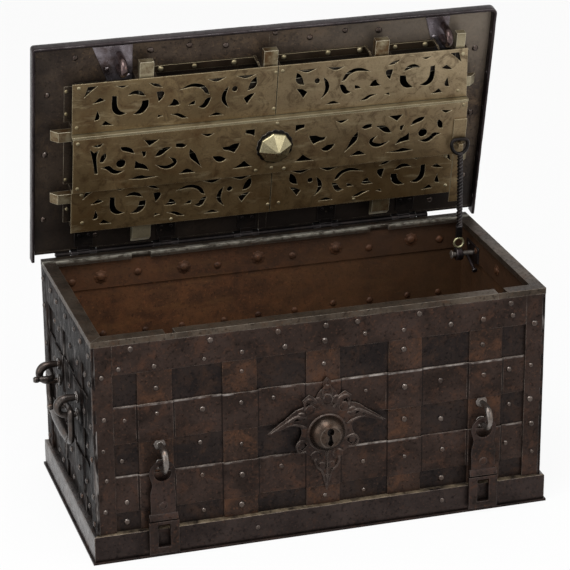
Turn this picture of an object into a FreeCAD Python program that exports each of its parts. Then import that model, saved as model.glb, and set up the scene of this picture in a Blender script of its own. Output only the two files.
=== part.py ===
import FreeCAD, Part
import math
import os

os.makedirs("parts", exist_ok=True)

# Iron strong chest with its lid open. Millimetres, +X right, the front faces -Y, +Z up.
# The origin is the centre of the underside of the base plate.

# Body: overall sizes, plates, rim and foot
width = 800.0
depth = 396.0
height = 403.4
wall_t = 4.0
base_t = 4.0
base_lip = 9.0
skirting_t = 12.0
skirting_h = 46.0
rim_h = 10.4
rim_w = 22.0
liner_t = 3.0
liner_h = 53.0

# Body: strapwork. The staple sits in the middle recess; the share divides the rest of the free height.
strap_t = 3.0
strap_w = 60.0
strap_edge = 42.0
corner_w = 35.0
end_strap_y = 74.0
top_band_h = 64.0
band_h = 69.0
lower_recess_share = 0.3745
staple_clear = 5.0
joggle = 3.0

# Lid: angle, hinge line, sheet and skirt
open_angle = 77.5
hinge_back = 7.5
hinge_up = 1.1
lid_rise = 2.0
lid_t = 4.0
side_gap = 11.0
front_gap = 15.0
skirt_t = 6.0
skirt_depth = 18.5
skirt_rear = 3.0
left_corner = 6.0
right_corner = 12.0
skirt_bevel = 2.0
lid_band_w = 66.0
rear_band_v = 70.0
front_band_in = 60.0
strap_start = 8.0

# Hinges
hinge_count = 5
hinge_shift = -20.0
hinge_spread = 4.0
knuckle_r = 5.5
knuckle_w = 12.0
mid_knuckle_w = 22.0
pin_r = 3.0
pin_play = 0.05
pin_end = 1.5
leaf_t = 3.0
lid_leaf_t = 2.6
leaf_low = 4.0
leaf_v0 = 14.0
leaf_v1 = 56.0

# Lock case and its cover plates, in rows from the hinge to the front
case_left_gap = 59.0
case_right_gap = 43.0
case_front_gap = 57.5
case_rear = 62.0
lower_share = 0.3
upper_share = 0.3367
case_wall_t = 4.0
front_inset = 16.0
side_inset = 12.0
flange_w = 7.0
flange_t = 2.5
rail_in = 8.0
rail_out = 5.5
rail_leaf_out = 9.0
rail_leaf_t = 3.0
rail_leaf_play = 2.0
leaf_slant = 4.0
rail_t = 4.0
cover_t = 2.5
cover_play = 2.6
ledge_h = 10.5
ledge_w = 3.8
cover_slant = 7.0
side_strap_in = 13.5
side_strap_out = 4.0
side_strap_low = 20.0
collar_r = 34.0
border_start = 35.0
border_margins = {-1: 23.0, 1: 19.0}
upper_foot = 14.0
upper_head = 8.0
lower_foot = 13.0
lower_head = 3.7
middle_margins = {-1: 32.0, 1: 33.0}
middle_foot = 15.0
middle_head = 16.0

# Lock: cam, spindle and four sliding sets of bolts. Shares run from the spindle to the case ends.
lock_x = 10.0
cam_r = 46.0
cam_t = 7.0
cam_lift = 4.0
cam_turn = 60.0
spindle_r = 8.0
key_half_w = 7.0
key_half_h = 12.0
key_cover_len = 34.0
key_cover_off = 24.0
key_cover_t = 3.0
peg_r = 2.9
peg_out = 38.0
peg_play = 0.45
bolt_stroke = 12.0
bolt_t = 13.2
bolt_play = 0.1
rim_play = 0.7
swing_play = 0.4
notch_play = 1.0
tip_play = 2.0
side_tip_play = 1.5
front_bolt_w = 25.0
end_bolt_w = 16.5
rear_bolt_w = 33.0
side_bolt_w = 19.0
bolt_bevel = 12.0
tip_flat = 2.5
tie_w = 12.0
arm_half = 7.0
front_tie_in = 31.0
rear_tie_in = 28.0
side_tie_in = 48.0
left_bolt_up = 4.0
low_bolt_down = 20.5
right_bolt_down = 28.0
front_shares = (-0.638, -0.03, 0.535, 0.943)
rear_shares = (-0.641, 0.6)
guide_len = 14.0
guide_t = 6.0

# Ring staples of the lid and the rim slots that they drop into
ring_shares = (-0.757, 0.869)
ring_rod_r = 7.0
ring_rise = 39.0
plate_t = 2.4
plate_edge = 6.0
slot_play = 1.5
slot_skin = 1.0
slot_skin_play = 0.7
slot_depth = 52.0

# Front: false lock plate, padlock staples and hasps
leaf_x = 5.0
leaf_over = 9.0
leaf_plate_t = 3.0
boss_r = 32.0
boss_h = 22.0
staple_up = 2.0
staple_in = 6.0
staple_half = 24.0
staple_reach = 22.0
rod_r = 5.0
hasp_w = 50.0
hasp_t = 4.0
hasp_foot_t = 7.0
hasp_eye_r = 14.5
hasp_eye_w = 9.0
hasp_off = 11.0
hasp_step = 31.0
hasp_ledge = 12.0
hasp_window = 10.5
foot_gap = 4.0
foot_bar = 13.0
hang_play = 0.4

# Handles
eye_up = 26.0
eye_reach = 19.0
eye_loop_r = 15.5
eye_rod_r = 5.5
bail_r = 6.0
bail_drop = 66.0
bail_arm = 17.0
bail_tail = 34.0

# Stay
stay_in = 10.0
stay_ahead = 87.5
stay_drop = 39.0
stay_len = 207.0
stay_r = 4.6
stay_eye_r = 13.5
stay_eye_rod = 4.0
stay_pin_r = 4.5
stay_pin_head_r = 8.0
stay_pin_head_t = 3.0
stay_knuckle_r = 12.0
stay_knuckle_half = 6.0
stay_peg_shift = 2.0
bracket_half = 30.0
bracket_t = 2.5
bracket_arm_r = 3.0
bracket_knob_r = 5.5
link_r = 9.0
link_rod_r = 2.2
link_up = 22.3
shank_len = 56.0
shank_half = 6.0
shank_t = 5.0
lug_half = 12.0
lug_len = 52.0
lug_t = 3.0
lug_peg = 4.0
lug_peg_h = 14.0

# Places that follow from these
half_w = width / 2
half_d = depth / 2
skin = 2 * strap_t
wall_x = half_w - skin
wall_y = half_d - skin
inner_x = wall_x - wall_t
inner_y = wall_y - wall_t
liner_x = inner_x - liner_t
liner_y = inner_y - liner_t
rim_z = height - rim_h
top_z = height - top_band_h
skirting_top = base_t + skirting_h
skirting_x = wall_x + skirting_t
skirting_y = wall_y + skirting_t
band_x = half_w - corner_w
band_y = half_d - corner_w
recess_h = 2 * (staple_half + staple_clear)
free_h = top_z - skirting_top - 2 * band_h - recess_h
lower_band_z = skirting_top + lower_recess_share * free_h
upper_band_z = lower_band_z + band_h + recess_h
recess_z = upper_band_z - recess_h / 2
strap_pitch = (band_x - strap_edge - strap_w / 2) / 2
strap_xs = [k * strap_pitch for k in (-2, -1, 0, 1, 2)]
strap_ys = [-end_strap_y, end_strap_y]

hinge_y = half_d + hinge_back
hinge_z = height + hinge_up
hinge_pitch = strap_pitch + hinge_spread
hinge_xs = [hinge_shift + (k - (hinge_count - 1) / 2) * hinge_pitch for k in range(hinge_count)]
hinge_half = mid_knuckle_w / 2 + pin_play + knuckle_w
lid_side = half_w + side_gap
lid_front = hinge_y + half_d + front_gap
sheet_n1 = -lid_rise
sheet_n0 = sheet_n1 - lid_t
lid_back = pin_r + 0.4

case_x0 = case_left_gap - lid_side
case_x1 = lid_side - case_right_gap
row_bottom = case_rear
row_top = lid_front - case_front_gap
row_lower = row_bottom + lower_share * (row_top - row_bottom)
row_upper = row_top - upper_share * (row_top - row_bottom)
lock_v = (row_lower + row_upper) / 2
bolt_n0 = hinge_z - rim_z + rim_play
bolt_n1 = bolt_n0 + bolt_t
cover_low = bolt_n1 + cover_play
cover_high = cover_low + ledge_h
cover_top = cover_high + cover_t
x_axis = FreeCAD.Vector(1, 0, 0)


def across(share):
    """X at a share of the way from the spindle to the left (negative) or right case end."""
    return lock_x + share * (case_x1 - lock_x if share > 0 else lock_x - case_x0)


front_bolt_xs = [across(s) for s in front_shares]
front_bolt_ws = [front_bolt_w] * (len(front_shares) - 1) + [end_bolt_w]
rear_bolt_xs = [across(s) for s in rear_shares]
ring_xs = [across(s) for s in ring_shares]
front_tip = hinge_y + liner_y - tip_play
rear_tip = hinge_y - liner_y + tip_play
side_tip = liner_x - side_tip_play
front_tie = row_top - front_tie_in
rear_tie = row_bottom + rear_tie_in
side_bolt_vs = {-1: (row_lower - low_bolt_down, row_upper - left_bolt_up),
                1: (row_lower - low_bolt_down, front_tie - tie_w - right_bolt_down)}
slot_half = ring_rod_r + slot_play
slot_z = height - slot_depth
staple_z = recess_z + staple_up
staple_x = strap_xs[-1] - staple_in
eye_z = upper_band_z + eye_up
eye_x = half_w + eye_reach
stay_x = case_x1 - stay_in
stay_y = hinge_y - stay_ahead
stay_z = rim_z - stay_drop


# Shapes


def vec(x, y, z):
    return FreeCAD.Vector(x, y, z)


def box(x0, x1, y0, y1, z0, z1):
    return Part.makeBox(x1 - x0, y1 - y0, z1 - z0, vec(x0, y0, z0))


def face_of(points):
    return Part.Face(Part.makePolygon(points + [points[0]]))


def prism_z(outline, z0, z1):
    return face_of([vec(x, y, z0) for x, y in outline]).extrude(vec(0, 0, z1 - z0))


def prism_y(outline, y0, y1):
    return face_of([vec(x, y0, z) for x, z in outline]).extrude(vec(0, y1 - y0, 0))


def prism_x(outline, x0, x1):
    return face_of([vec(x0, y, z) for y, z in outline]).extrude(vec(x1 - x0, 0, 0))


def circle_points(cx, cy, radius, count):
    """Corners of a regular polygon with a flat on each axis."""
    step = 2 * math.pi / count
    return [(cx + radius * math.cos((k + 0.5) * step), cy + radius * math.sin((k + 0.5) * step))
            for k in range(count)]


def group(solids):
    return Part.makeCompound(solids)


def solid_of(faces):
    solid = Part.Solid(Part.makeShell(faces))
    if solid.Volume < 0:
        solid.reverse()
    return solid


def between(rings):
    """Faceted solid through rings of corners, closed at both ends."""
    faces = [face_of(list(rings[0])), face_of(list(rings[-1]))]
    count = len(rings[0])
    for first, last in zip(rings, rings[1:]):
        for k in range(count):
            n = (k + 1) % count
            faces.append(face_of([first[k], first[n], last[n], last[k]]))
    return solid_of(faces)


def rod(path, radius, sides=8):
    """Forged bar of polygonal section with mitred bends, one convex solid per straight run."""
    runs = [(path[k + 1] - path[k]).normalize() for k in range(len(path) - 1)]
    helper = vec(0, 0, 1) if abs(runs[0].z) < 0.9 else vec(0, 1, 0)
    first = runs[0].cross(helper).normalize()
    second = runs[0].cross(first)
    section = [path[0] + first * a + second * b for a, b in circle_points(0, 0, radius, sides)]
    solids = []
    for k, run in enumerate(runs):
        plane = run if k == len(runs) - 1 else (run + runs[k + 1]).normalize()
        end = path[k + 1]
        ahead = [p + run * ((end - p).dot(plane) / run.dot(plane)) for p in section]
        solids.append(between([section, ahead]))
        section = ahead
    return solids


def ring(centre, first, second, major, minor, count=12, sides=8):
    """Closed forged ring in the plane of two unit vectors, started in the middle of a side."""
    step = 2 * math.pi / count
    corners = [centre + first * (major * math.cos(step * k)) + second * (major * math.sin(step * k))
               for k in range(count)]
    start = (corners[0] + corners[-1]) * 0.5
    return rod([start] + corners + [start], minor, sides)


def bar_x(y, z, radius, x0, x1, sides=12):
    """Round bar along X with flat facets."""
    return prism_x(circle_points(y, z, radius, sides), x0, x1)


def bore_x(y, z, radius, x0, x1, sides=12):
    """Tool for a bore along X whose facets lie outside the radius."""
    return bar_x(y, z, radius / math.cos(math.pi / sides), x0, x1, sides)


def joggled(stops, low, high, thick):
    """Outline of a band hammered flat between the straps and over them, as (run, rise) points."""
    lower = [(stops[0][0], low)]
    for start, end in stops[1:-1]:
        lower += [(start - joggle, low), (start, high), (end, high), (end + joggle, low)]
    lower.append((stops[-1][0], low))
    upper = [(run, rise + thick) for run, rise in reversed(lower)]
    return lower + upper


def frame_bars(outer_x, outer_y, hole_x, hole_y, z0, z1):
    """Four mitred bars round a rectangle: front, right, back, left."""
    bars = []
    for sx, sy in ((0, -1), (1, 0), (0, 1), (-1, 0)):
        if sy:
            outline = [(-outer_x, sy * outer_y), (outer_x, sy * outer_y),
                       (hole_x, sy * hole_y), (-hole_x, sy * hole_y)]
        else:
            outline = [(sx * outer_x, -outer_y), (sx * outer_x, outer_y),
                       (sx * hole_x, hole_y), (sx * hole_x, -hole_y)]
        bars.append(prism_z(outline, z0, z1))
    return bars


def on_lid(solids):
    """Turns pieces drawn on the lid into place: drawn x across, y away from the hinge, z inwards."""
    placed = group(solids)
    placed.rotate(vec(0, 0, 0), x_axis, 180.0 - open_angle)
    placed.translate(vec(0, hinge_y, hinge_z))
    return placed


# Body plates and frame


def wall_edges():
    """Ends of the front wall's stretches, with the two ring slots between them."""
    edges = [-wall_x]
    for x in ring_xs:
        edges += [x - slot_half, x + slot_half]
    return edges + [wall_x]


def base_plate():
    reach_x, reach_y = half_w + base_lip, half_d + base_lip
    return box(-reach_x, reach_x, -reach_y, reach_y, 0, base_t)


def base_skirting():
    return group(frame_bars(skirting_x, skirting_y, wall_x, wall_y, base_t, skirting_top))


def front_plate():
    edges = wall_edges()
    full = [box(a, b, -wall_y, -inner_y, base_t, rim_z) for a, b in zip(edges[0::2], edges[1::2])]
    under_slots = [box(a, b, -wall_y, -inner_y, base_t, slot_z) for a, b in zip(edges[1::2], edges[2::2])]
    return group(full + under_slots)


def back_plate():
    return box(-wall_x, wall_x, inner_y, wall_y, base_t, rim_z)


def side_plate(side):
    x0, x1 = sorted((side * inner_x, side * wall_x))
    return box(x0, x1, -inner_y, inner_y, base_t, rim_z)


def rim_frame():
    """Four bars: the front one slotted for the rings, the back one hollowed for the rear bolts."""
    edges = [-half_w] + wall_edges()[1:-1] + [half_w]
    bars = []
    for a, b in zip(edges[0::2], edges[1::2]):
        inner_a = a + rim_w if a == -half_w else a
        inner_b = b - rim_w if b == half_w else b
        bars.append(prism_z([(a, -half_d), (b, -half_d), (inner_b, -half_d + rim_w),
                             (inner_a, -half_d + rim_w)], rim_z, height))
    for a, b in zip(edges[1::2], edges[2::2]):
        bars.append(box(a, b, -half_d, -half_d + slot_skin, rim_z, height))
    bars += frame_bars(half_w, half_d, half_w - rim_w, half_d - rim_w, rim_z, height)[1:]
    swing_r = math.hypot(rear_tip, bolt_n0) - swing_play
    notches = []
    for x in rear_bolt_xs:
        x0 = x - rear_bolt_w / 2 - notch_play
        x1 = x + rear_bolt_w / 2 + notch_play
        kept = Part.makeCylinder(swing_r, x1 - x0 + 2, vec(x0 - 1, hinge_y, hinge_z), x_axis)
        notches.append(box(x0, x1, half_d - rim_w - 1, hinge_y, rim_z - 1, height + 1).cut(kept))
    return group([bar.cut(group(notches)) for bar in bars])


def inner_strip():
    z0 = rim_z - liner_h
    strips = [box(-liner_x, liner_x, liner_y, inner_y, z0, rim_z)]
    edges = wall_edges()
    for a, b in zip(edges[0::2], edges[1::2]):
        strips.append(box(max(a, -liner_x), min(b, liner_x), -inner_y, -liner_y, z0, rim_z))
    strips.append(box(-inner_x, -liner_x, -inner_y, inner_y, z0, rim_z))
    strips.append(box(liner_x, inner_x, -inner_y, inner_y, z0, rim_z))
    return group(strips)


# Strapwork of the body


def corner_angles():
    posts = []
    for sx in (-1, 1):
        for sy in (-1, 1):
            posts.append(prism_z([(sx * half_w, sy * half_d), (sx * band_x, sy * half_d),
                                  (sx * band_x, sy * wall_y), (sx * wall_x, sy * wall_y),
                                  (sx * wall_x, sy * band_y), (sx * half_w, sy * band_y)],
                                 skirting_top, rim_z))
    return group(posts)


def top_bands():
    front = box(-band_x, band_x, -half_d, -wall_y, top_z, rim_z)
    for x in ring_xs:
        front = front.cut(box(x - slot_half, x + slot_half, -half_d + slot_skin, -wall_y + 1,
                              slot_z, rim_z + 1))
    return group([front,
                  box(-band_x, band_x, wall_y, half_d, top_z, rim_z),
                  box(-half_w, -wall_x, -band_y, band_y, top_z, rim_z),
                  box(wall_x, half_w, -band_y, band_y, top_z, rim_z)])


def long_straps(side):
    y0, y1 = sorted((side * wall_y, side * (wall_y + strap_t)))
    return group([box(x - strap_w / 2, x + strap_w / 2, y0, y1, skirting_top, top_z) for x in strap_xs])


def side_straps():
    straps = []
    for side in (-1, 1):
        x0, x1 = sorted((side * wall_x, side * (wall_x + strap_t)))
        for y in strap_ys:
            straps.append(box(x0, x1, y - strap_w / 2, y + strap_w / 2, skirting_top, top_z))
    return group(straps)


def stops_over(centres, end):
    """Where a band starts, passes over each strap, and ends."""
    return [(-end, -end)] + [(c - strap_w / 2, c + strap_w / 2) for c in centres] + [(end, end)]


def long_bands(side):
    shape = joggled(stops_over(strap_xs, band_x), wall_y, wall_y + strap_t, strap_t)
    outline = [(run, side * rise) for run, rise in shape]
    return group([prism_z(outline, z, z + band_h) for z in (lower_band_z, upper_band_z)])


def side_bands():
    shape = joggled(stops_over(strap_ys, band_y), wall_x, wall_x + strap_t, strap_t)
    bands = []
    for side in (-1, 1):
        outline = [(side * rise, run) for run, rise in shape]
        bands += [prism_z(outline, z, z + band_h) for z in (lower_band_z, upper_band_z)]
    return group(bands)


# False lock plate on the front. The leaf is drawn about its keyhole, the right half only, from top to tip.
foliage = [(0, 103), (9, 94), (6, 84), (16, 76), (20, 66), (32, 74), (44, 64), (40, 52), (56, 48),
           (70, 36), (84, 27), (106, 10), (84, 14), (66, 20), (50, 20), (44, 8), (48, -6), (58, -20),
           (52, -34), (36, -34), (26, -44), (22, -62), (10, -72), (6, -92), (0, -111)]
leaf_eyelets = [((30, 58), (36, 60), (37, 51), (30, 50)), ((46, 36), (60, 33), (58, 28), (45, 29)),
                ((40, -14), (48, -22), (44, -28), (36, -20))]
leaf_keyhole = [(0, -18), (5, -12), (2, 2), (6, 8), (5, 14), (0, 17)]
boss_profile = ((1.0, 0.0), (0.94, 0.41), (0.78, 0.77), (0.56, 1.0))


def false_lock_plate():
    """Cut foliage with a faceted dome and a blind keyhole."""
    drawn_top, drawn_tip = foliage[0][1], foliage[-1][1]
    scale = (upper_band_z + band_h - lower_band_z + 2 * leaf_over) / (drawn_top - drawn_tip)
    leaf_z = lower_band_z - leaf_over - drawn_tip * scale
    front_y = -half_d - leaf_plate_t

    def placed(outline, side=1):
        return [(leaf_x + side * a * scale, leaf_z + b * scale) for a, b in outline]

    def mirrored(outline):
        return placed(outline) + placed(outline[1:-1], -1)[::-1]

    leaf = prism_y(mirrored(foliage), front_y, -half_d)
    for side in (-1, 1):
        for hole in leaf_eyelets:
            leaf = leaf.cut(prism_y(placed(hole, side), front_y - 1, -half_d + 1))
    levels = []
    for share, rise in boss_profile:
        corners = circle_points(leaf_x, leaf_z, boss_r * share, 24)
        levels.append([vec(x, front_y - boss_h * rise, z) for x, z in corners])
    key = prism_y(mirrored(leaf_keyhole), front_y - boss_h - 1, front_y - boss_h * 0.4)
    return group([leaf, between(levels).cut(key)])


# Padlock staples and the hasps that hang from them


def front_staples():
    r = staple_half - rod_r
    root = -wall_y - strap_t
    out = -half_d - staple_reach
    loop = [(root, r), (out + 2, r), (out - r * 0.55, r * 0.8), (out - r * 0.95, 0),
            (out - r * 0.55, -r * 0.8), (out + 2, -r), (root, -r)]
    solids = []
    for side in (-1, 1):
        solids += rod([vec(side * staple_x, y, staple_z + z) for y, z in loop], rod_r)
    return group(solids)


def hasp(side):
    """Strap with a round eye, a ledge over the skirting and a slotted foot, in convex pieces."""
    x = side * staple_x
    back = -half_d - hasp_off + hasp_t / 2
    front = back - hasp_t
    hung_z = staple_z - staple_half + 2 * rod_r + hang_play
    eye_centre = hung_z - hasp_eye_r
    outer_r = hasp_eye_r + hasp_eye_w
    ledge_z = skirting_top + hasp_step
    foot_back = -skirting_y - foot_gap
    foot_front = foot_back - hasp_foot_t
    foot_top = ledge_z - hasp_ledge
    foot_z = base_t + foot_gap
    count = 12
    step = 2 * math.pi / count

    def spoke(radius, k):
        return (x + radius * math.cos(k * step), eye_centre + radius * math.sin(k * step))

    pieces = []
    for k in range(count):
        pieces.append(prism_y([spoke(hasp_eye_r, k), spoke(outer_r, k), spoke(outer_r, k + 1),
                               spoke(hasp_eye_r, k + 1)], front, back))
    waist = hasp_w / 2 - 3.0
    throat = outer_r * math.sin(step)
    low = eye_centre - outer_r
    shoulder = eye_centre - outer_r * math.cos(step)
    pieces.append(prism_y([(x - waist, ledge_z), (x + waist, ledge_z), (x + throat, low), (x - throat, low)],
                          front, back))
    for turn in (-1, 1):
        pieces.append(prism_y([(x + turn * throat, low), (x + turn * waist, ledge_z),
                               (x + turn * outer_r * math.cos(step), eye_centre - outer_r * 0.5),
                               (x + turn * throat, shoulder)], front, back))
    pieces.append(prism_x([(front, ledge_z), (back, ledge_z), (foot_back, foot_top + 4.0),
                           (foot_back, foot_top), (foot_front, foot_top), (foot_front, foot_top + 2.0)],
                          x - hasp_w / 2, x + hasp_w / 2))
    for turn in (-1, 1):
        x0, x1 = sorted((x + turn * hasp_window, x + turn * (hasp_w / 2 + 2)))
        pieces.append(box(x0, x1, foot_front, foot_back, foot_z, foot_top))
    pieces.append(box(x - hasp_window, x + hasp_window, foot_front, foot_back, foot_z, foot_z + foot_bar))
    pieces.append(box(x - hasp_window, x + hasp_window, foot_front, foot_back, foot_top - 6.0, foot_top))
    return group(pieces)


# Handles: two eyes and a drop bail on each end


def handle_eyes():
    solids = []
    for side in (-1, 1):
        for y in strap_ys:
            slant = eye_loop_r * 0.71
            loop = [(half_w, eye_loop_r), (eye_x, eye_loop_r), (eye_x + slant, slant),
                    (eye_x + eye_loop_r, 0),
                    (eye_x + slant, -slant), (eye_x, -eye_loop_r), (half_w, -eye_loop_r)]
            solids += rod([vec(side * x, y, eye_z + z) for x, z in loop], eye_rod_r)
    return group(solids)


def bail(side):
    """Drop handle whose ends pass through the eyes and turn outwards."""
    x = side * (eye_x - 4.0)
    z = eye_z - 4.0
    arm = end_strap_y + bail_arm
    tip = end_strap_y - eye_loop_r + 0.5
    low = eye_z - bail_drop
    half = [vec(x + side * bail_tail, -tip, z + 1.0), vec(x + side * 7.0, -tip, z), vec(x, -tip - 5.0, z),
            vec(x, -arm + 6.0, z), vec(x, -arm, z - 6.0), vec(x, -arm, low + 22.0),
            vec(x, -arm + 8.0, low + 7.0), vec(x, -arm + 26.0, low)]
    other = [vec(p.x, -p.y, p.z) for p in reversed(half)]
    return group(rod(half + other, bail_r))


# Hinges: leaves on the top band's back, leaves on the lid, one rod through all of them


def hinge_leaves_body():
    stem_z, stem_top = hinge_z - knuckle_r - 1.5, hinge_z - 1.0
    solids = []
    for x in hinge_xs:
        solids.append(box(x - hinge_half, x + hinge_half, half_d, half_d + leaf_t, top_z + leaf_low, stem_z))
        for side in (-1, 1):
            a, b = sorted((x + side * (hinge_half - knuckle_w), x + side * hinge_half))
            knuckle = bar_x(hinge_y, hinge_z, knuckle_r, a, b)
            stem = prism_x([(half_d, stem_z), (half_d + leaf_t, stem_z), (hinge_y, hinge_z - knuckle_r),
                            (hinge_y, stem_top), (half_d, stem_top)], a, b)
            bore = bore_x(hinge_y, hinge_z, pin_r, a - 1, b + 1)
            solids.append(knuckle.fuse(stem).cut(bore).removeSplitter())
    return group(solids)


def hinge_rod():
    reach = hinge_half + pin_end
    return bar_x(hinge_y, hinge_z, pin_r, hinge_xs[0] - reach, hinge_xs[-1] + reach)


def hinge_leaves_lid():
    solids = []
    half = mid_knuckle_w / 2
    top = sheet_n1 + lid_leaf_t
    for x in hinge_xs:
        knuckle = bar_x(0, 0, knuckle_r, x - half, x + half)
        tongue = box(x - half, x + half, 0, leaf_v0, sheet_n1, top)
        bore = bore_x(0, 0, pin_r + pin_play, x - half - 1, x + half + 1)
        solids.append(knuckle.fuse(tongue).cut(bore).removeSplitter())
        solids.append(box(x - half - 6, x + half + 6, leaf_v0, leaf_v1, sheet_n1, top))
    return on_lid(solids)


# Stay: wall bracket with a pin, knuckle, link, and a rod whose eye hooks over the lid's lug

link_z = stay_z + link_up


def stay_bracket():
    wall_plate = prism_x([(stay_y - bracket_half, stay_z - 12), (stay_y - 10, stay_z - 20),
                          (stay_y + 12, stay_z - 20), (stay_y + bracket_half, stay_z + 6),
                          (stay_y + bracket_half, stay_z + 18), (stay_y - bracket_half, stay_z + 18)],
                         liner_x - bracket_t, liner_x)
    head_x = stay_x - 2 * stay_knuckle_half
    pin = bar_x(stay_y, stay_z, stay_pin_r, head_x, liner_x - bracket_t)
    head = bar_x(stay_y, stay_z, stay_pin_head_r, head_x - stay_pin_head_t, head_x)
    start = vec(stay_x + 16.0, stay_y - 4.0, stay_z - 3.0)
    end = vec(stay_x + 17.0, stay_y - 38.0, stay_z - 19.0)
    along = (end - start).normalize()
    return group([wall_plate, pin, head] + rod([start, end], bracket_arm_r) + rod([end, end + along * 4.0],
                                                                                        bracket_knob_r))


def stay_knuckle():
    x0, x1 = stay_x - stay_knuckle_half, stay_x + stay_knuckle_half
    body = bar_x(stay_y, stay_z, stay_knuckle_r, x0, x1)
    return body.cut(bore_x(stay_y, stay_z, stay_pin_r + pin_play, x0 - 1, x1 + 1))


def stay_link():
    return group(ring(vec(stay_x, stay_y, link_z), x_axis, vec(0, 0, 1), link_r, link_rod_r, 10, 6))


def stay_rod():
    eye_centre = stay_z + stay_len
    shank_top = stay_z + shank_len
    shank_low = link_z + link_r + 1.7
    shank = box(stay_x - shank_half, stay_x + shank_half, stay_y - shank_t / 2, stay_y + shank_t / 2,
                shank_low, shank_top)
    stem = prism_z(circle_points(stay_x, stay_y, stay_r, 8), shank_top,
                   eye_centre - stay_eye_r + 1.0)
    eye = ring(vec(stay_x - stay_peg_shift, stay_y, eye_centre), x_axis, vec(0, 0, 1), stay_eye_r,
               stay_eye_rod)
    return group([shank, stem] + eye)


def stay_lug():
    """Side strap of the lock case with a lug plate and the peg that takes the stay's eye."""
    turned = math.radians(open_angle)
    rise = stay_z + stay_len - hinge_z
    eye_v = stay_ahead * math.cos(turned) + rise * math.sin(turned)
    peg_v = eye_v + stay_eye_r - stay_eye_rod - 5.1
    peg_x = stay_x - stay_peg_shift
    peg_v0, lug_n = peg_v - lug_peg, cover_top + lug_t
    solids = [box(peg_x - lug_half, peg_x + lug_half, peg_v0, peg_v0 + lug_len, cover_top, lug_n),
              box(peg_x - lug_peg, peg_x + lug_peg, peg_v0, peg_v0 + 2 * lug_peg - 1.0, lug_n,
                  lug_n + lug_peg_h),
              box(case_x1 - side_strap_in, case_x1 + side_strap_out, row_bottom - side_strap_low,
                  row_lower - 2.0, cover_low, cover_low + cover_t)]
    return on_lid(solids)


# Lid: sheet, skirt, straps and bands. The keyhole goes through all that lie over it.

key_x0, key_x1 = lock_x - key_half_w, lock_x + key_half_w
key_v0, key_v1 = lock_v - key_half_h, lock_v + key_half_h


def around_key(x0, x1, v0, v1, n0, n1):
    return [box(x0, key_x0, v0, v1, n0, n1), box(key_x1, x1, v0, v1, n0, n1),
            box(key_x0, key_x1, v0, key_v0, n0, n1), box(key_x0, key_x1, key_v1, v1, n0, n1)]


def lid_sheet():
    """Sheet with its back edge cut away round each hinge."""
    solids = around_key(-lid_side, lid_side, strap_start, lid_front, sheet_n0, sheet_n1)
    start = -lid_side
    for x in hinge_xs:
        solids.append(box(start, x - hinge_half - 1.0, lid_back, strap_start, sheet_n0, sheet_n1))
        start = x + hinge_half + 1.0
    solids.append(box(start, lid_side, lid_back, strap_start, sheet_n0, sheet_n1))
    return on_lid(solids)


def lid_skirt():
    """Bevelled rim on three sides, mitred at two rounded front corners."""
    out_x = lid_side + skirt_t
    out_v = lid_front + skirt_t
    lip = sheet_n0 + skirt_depth
    outline = [(-out_x, 5 - skirt_rear), (5 - out_x, -skirt_rear), (out_x - 5, -skirt_rear),
               (out_x, 5 - skirt_rear)]
    for side, radius, start in ((1, right_corner, 0), (-1, left_corner, 1)):
        for k in range(4):
            a = math.pi / 2 * (start + k / 3)
            outline.append((side * (out_x - radius) + radius * math.cos(a),
                            out_v - radius + radius * math.sin(a)))
    block = prism_z(outline, sheet_n0, lip)
    rims = [e for e in block.Edges if abs(e.Vertexes[0].Z - e.Vertexes[1].Z) < 0.01]
    block = block.makeChamfer(skirt_bevel, rims)
    far = width + depth
    wedges = [[(side * far, -skirt_rear - 1), (side * lid_side, -skirt_rear - 1),
               (side * lid_side, lid_front), (side * far, lid_front + far - lid_side)] for side in (-1, 1)]
    wedges.append([(-lid_side, lid_front), (lid_side, lid_front), (far, lid_front + far - lid_side),
                   (-far, lid_front + far - lid_side)])
    return on_lid([block.common(prism_z(w, sheet_n0 - 1, lip + 1)).Solids[0] for w in wedges])


def lid_straps():
    solids = []
    n0 = sheet_n0 - strap_t
    for x in strap_xs:
        x0, x1 = x - strap_w / 2, x + strap_w / 2
        if x0 < key_x0 and key_x1 < x1:
            solids += around_key(x0, x1, strap_start, lid_front - 2, n0, sheet_n0)
        else:
            solids.append(box(x0, x1, strap_start, lid_front - 2, n0, sheet_n0))
    return on_lid(solids)


def lid_bands():
    """Two bands right across and one in two halves with the keyhole between them."""
    half = lid_band_w / 2
    solids = []

    def band(stops, side, v0, v1):
        outline = [vec(side * a, v0, sheet_n0 - b) for a, b in joggled(stops, 0, strap_t, strap_t)]
        solids.append(face_of(outline).extrude(vec(0, v1 - v0, 0)))

    for centre in (rear_band_v, lid_front - front_band_in):
        band(stops_over(strap_xs, lid_side), 1, centre - half, centre + half)
    right_stops = [(strap_w / 2, strap_w / 2)] + stops_over([x for x in strap_xs if x > 0], lid_side)[1:]
    for side in (-1, 1):
        band(right_stops, side, lock_v - half, lock_v + half)
    solids += around_key(-strap_w / 2, strap_w / 2, lock_v - half, lock_v + half, sheet_n0 - 2 * strap_t,
                         sheet_n0 - strap_t)
    return on_lid(solids)


# Ring staples on the lid, with bright plates under them

ring_v0 = row_top + 2.0
ring_v1 = hinge_y + half_d - slot_skin - slot_skin_play
ring_v = (ring_v0 + ring_v1) / 2


def ring_rods():
    r = (ring_v1 - ring_v0) / 2 - ring_rod_r
    shoulder = sheet_n1 + ring_rise * 0.52
    brow = sheet_n1 + ring_rise * 0.84
    arch = [(-r, sheet_n1), (-r, shoulder), (-0.75 * r, brow), (0, sheet_n1 + ring_rise), (0.75 * r, brow),
            (r, shoulder), (r, sheet_n1)]
    solids = []
    for x in ring_xs:
        solids += rod([vec(x, ring_v + a, n) for a, n in arch], ring_rod_r)
    return solids


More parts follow.
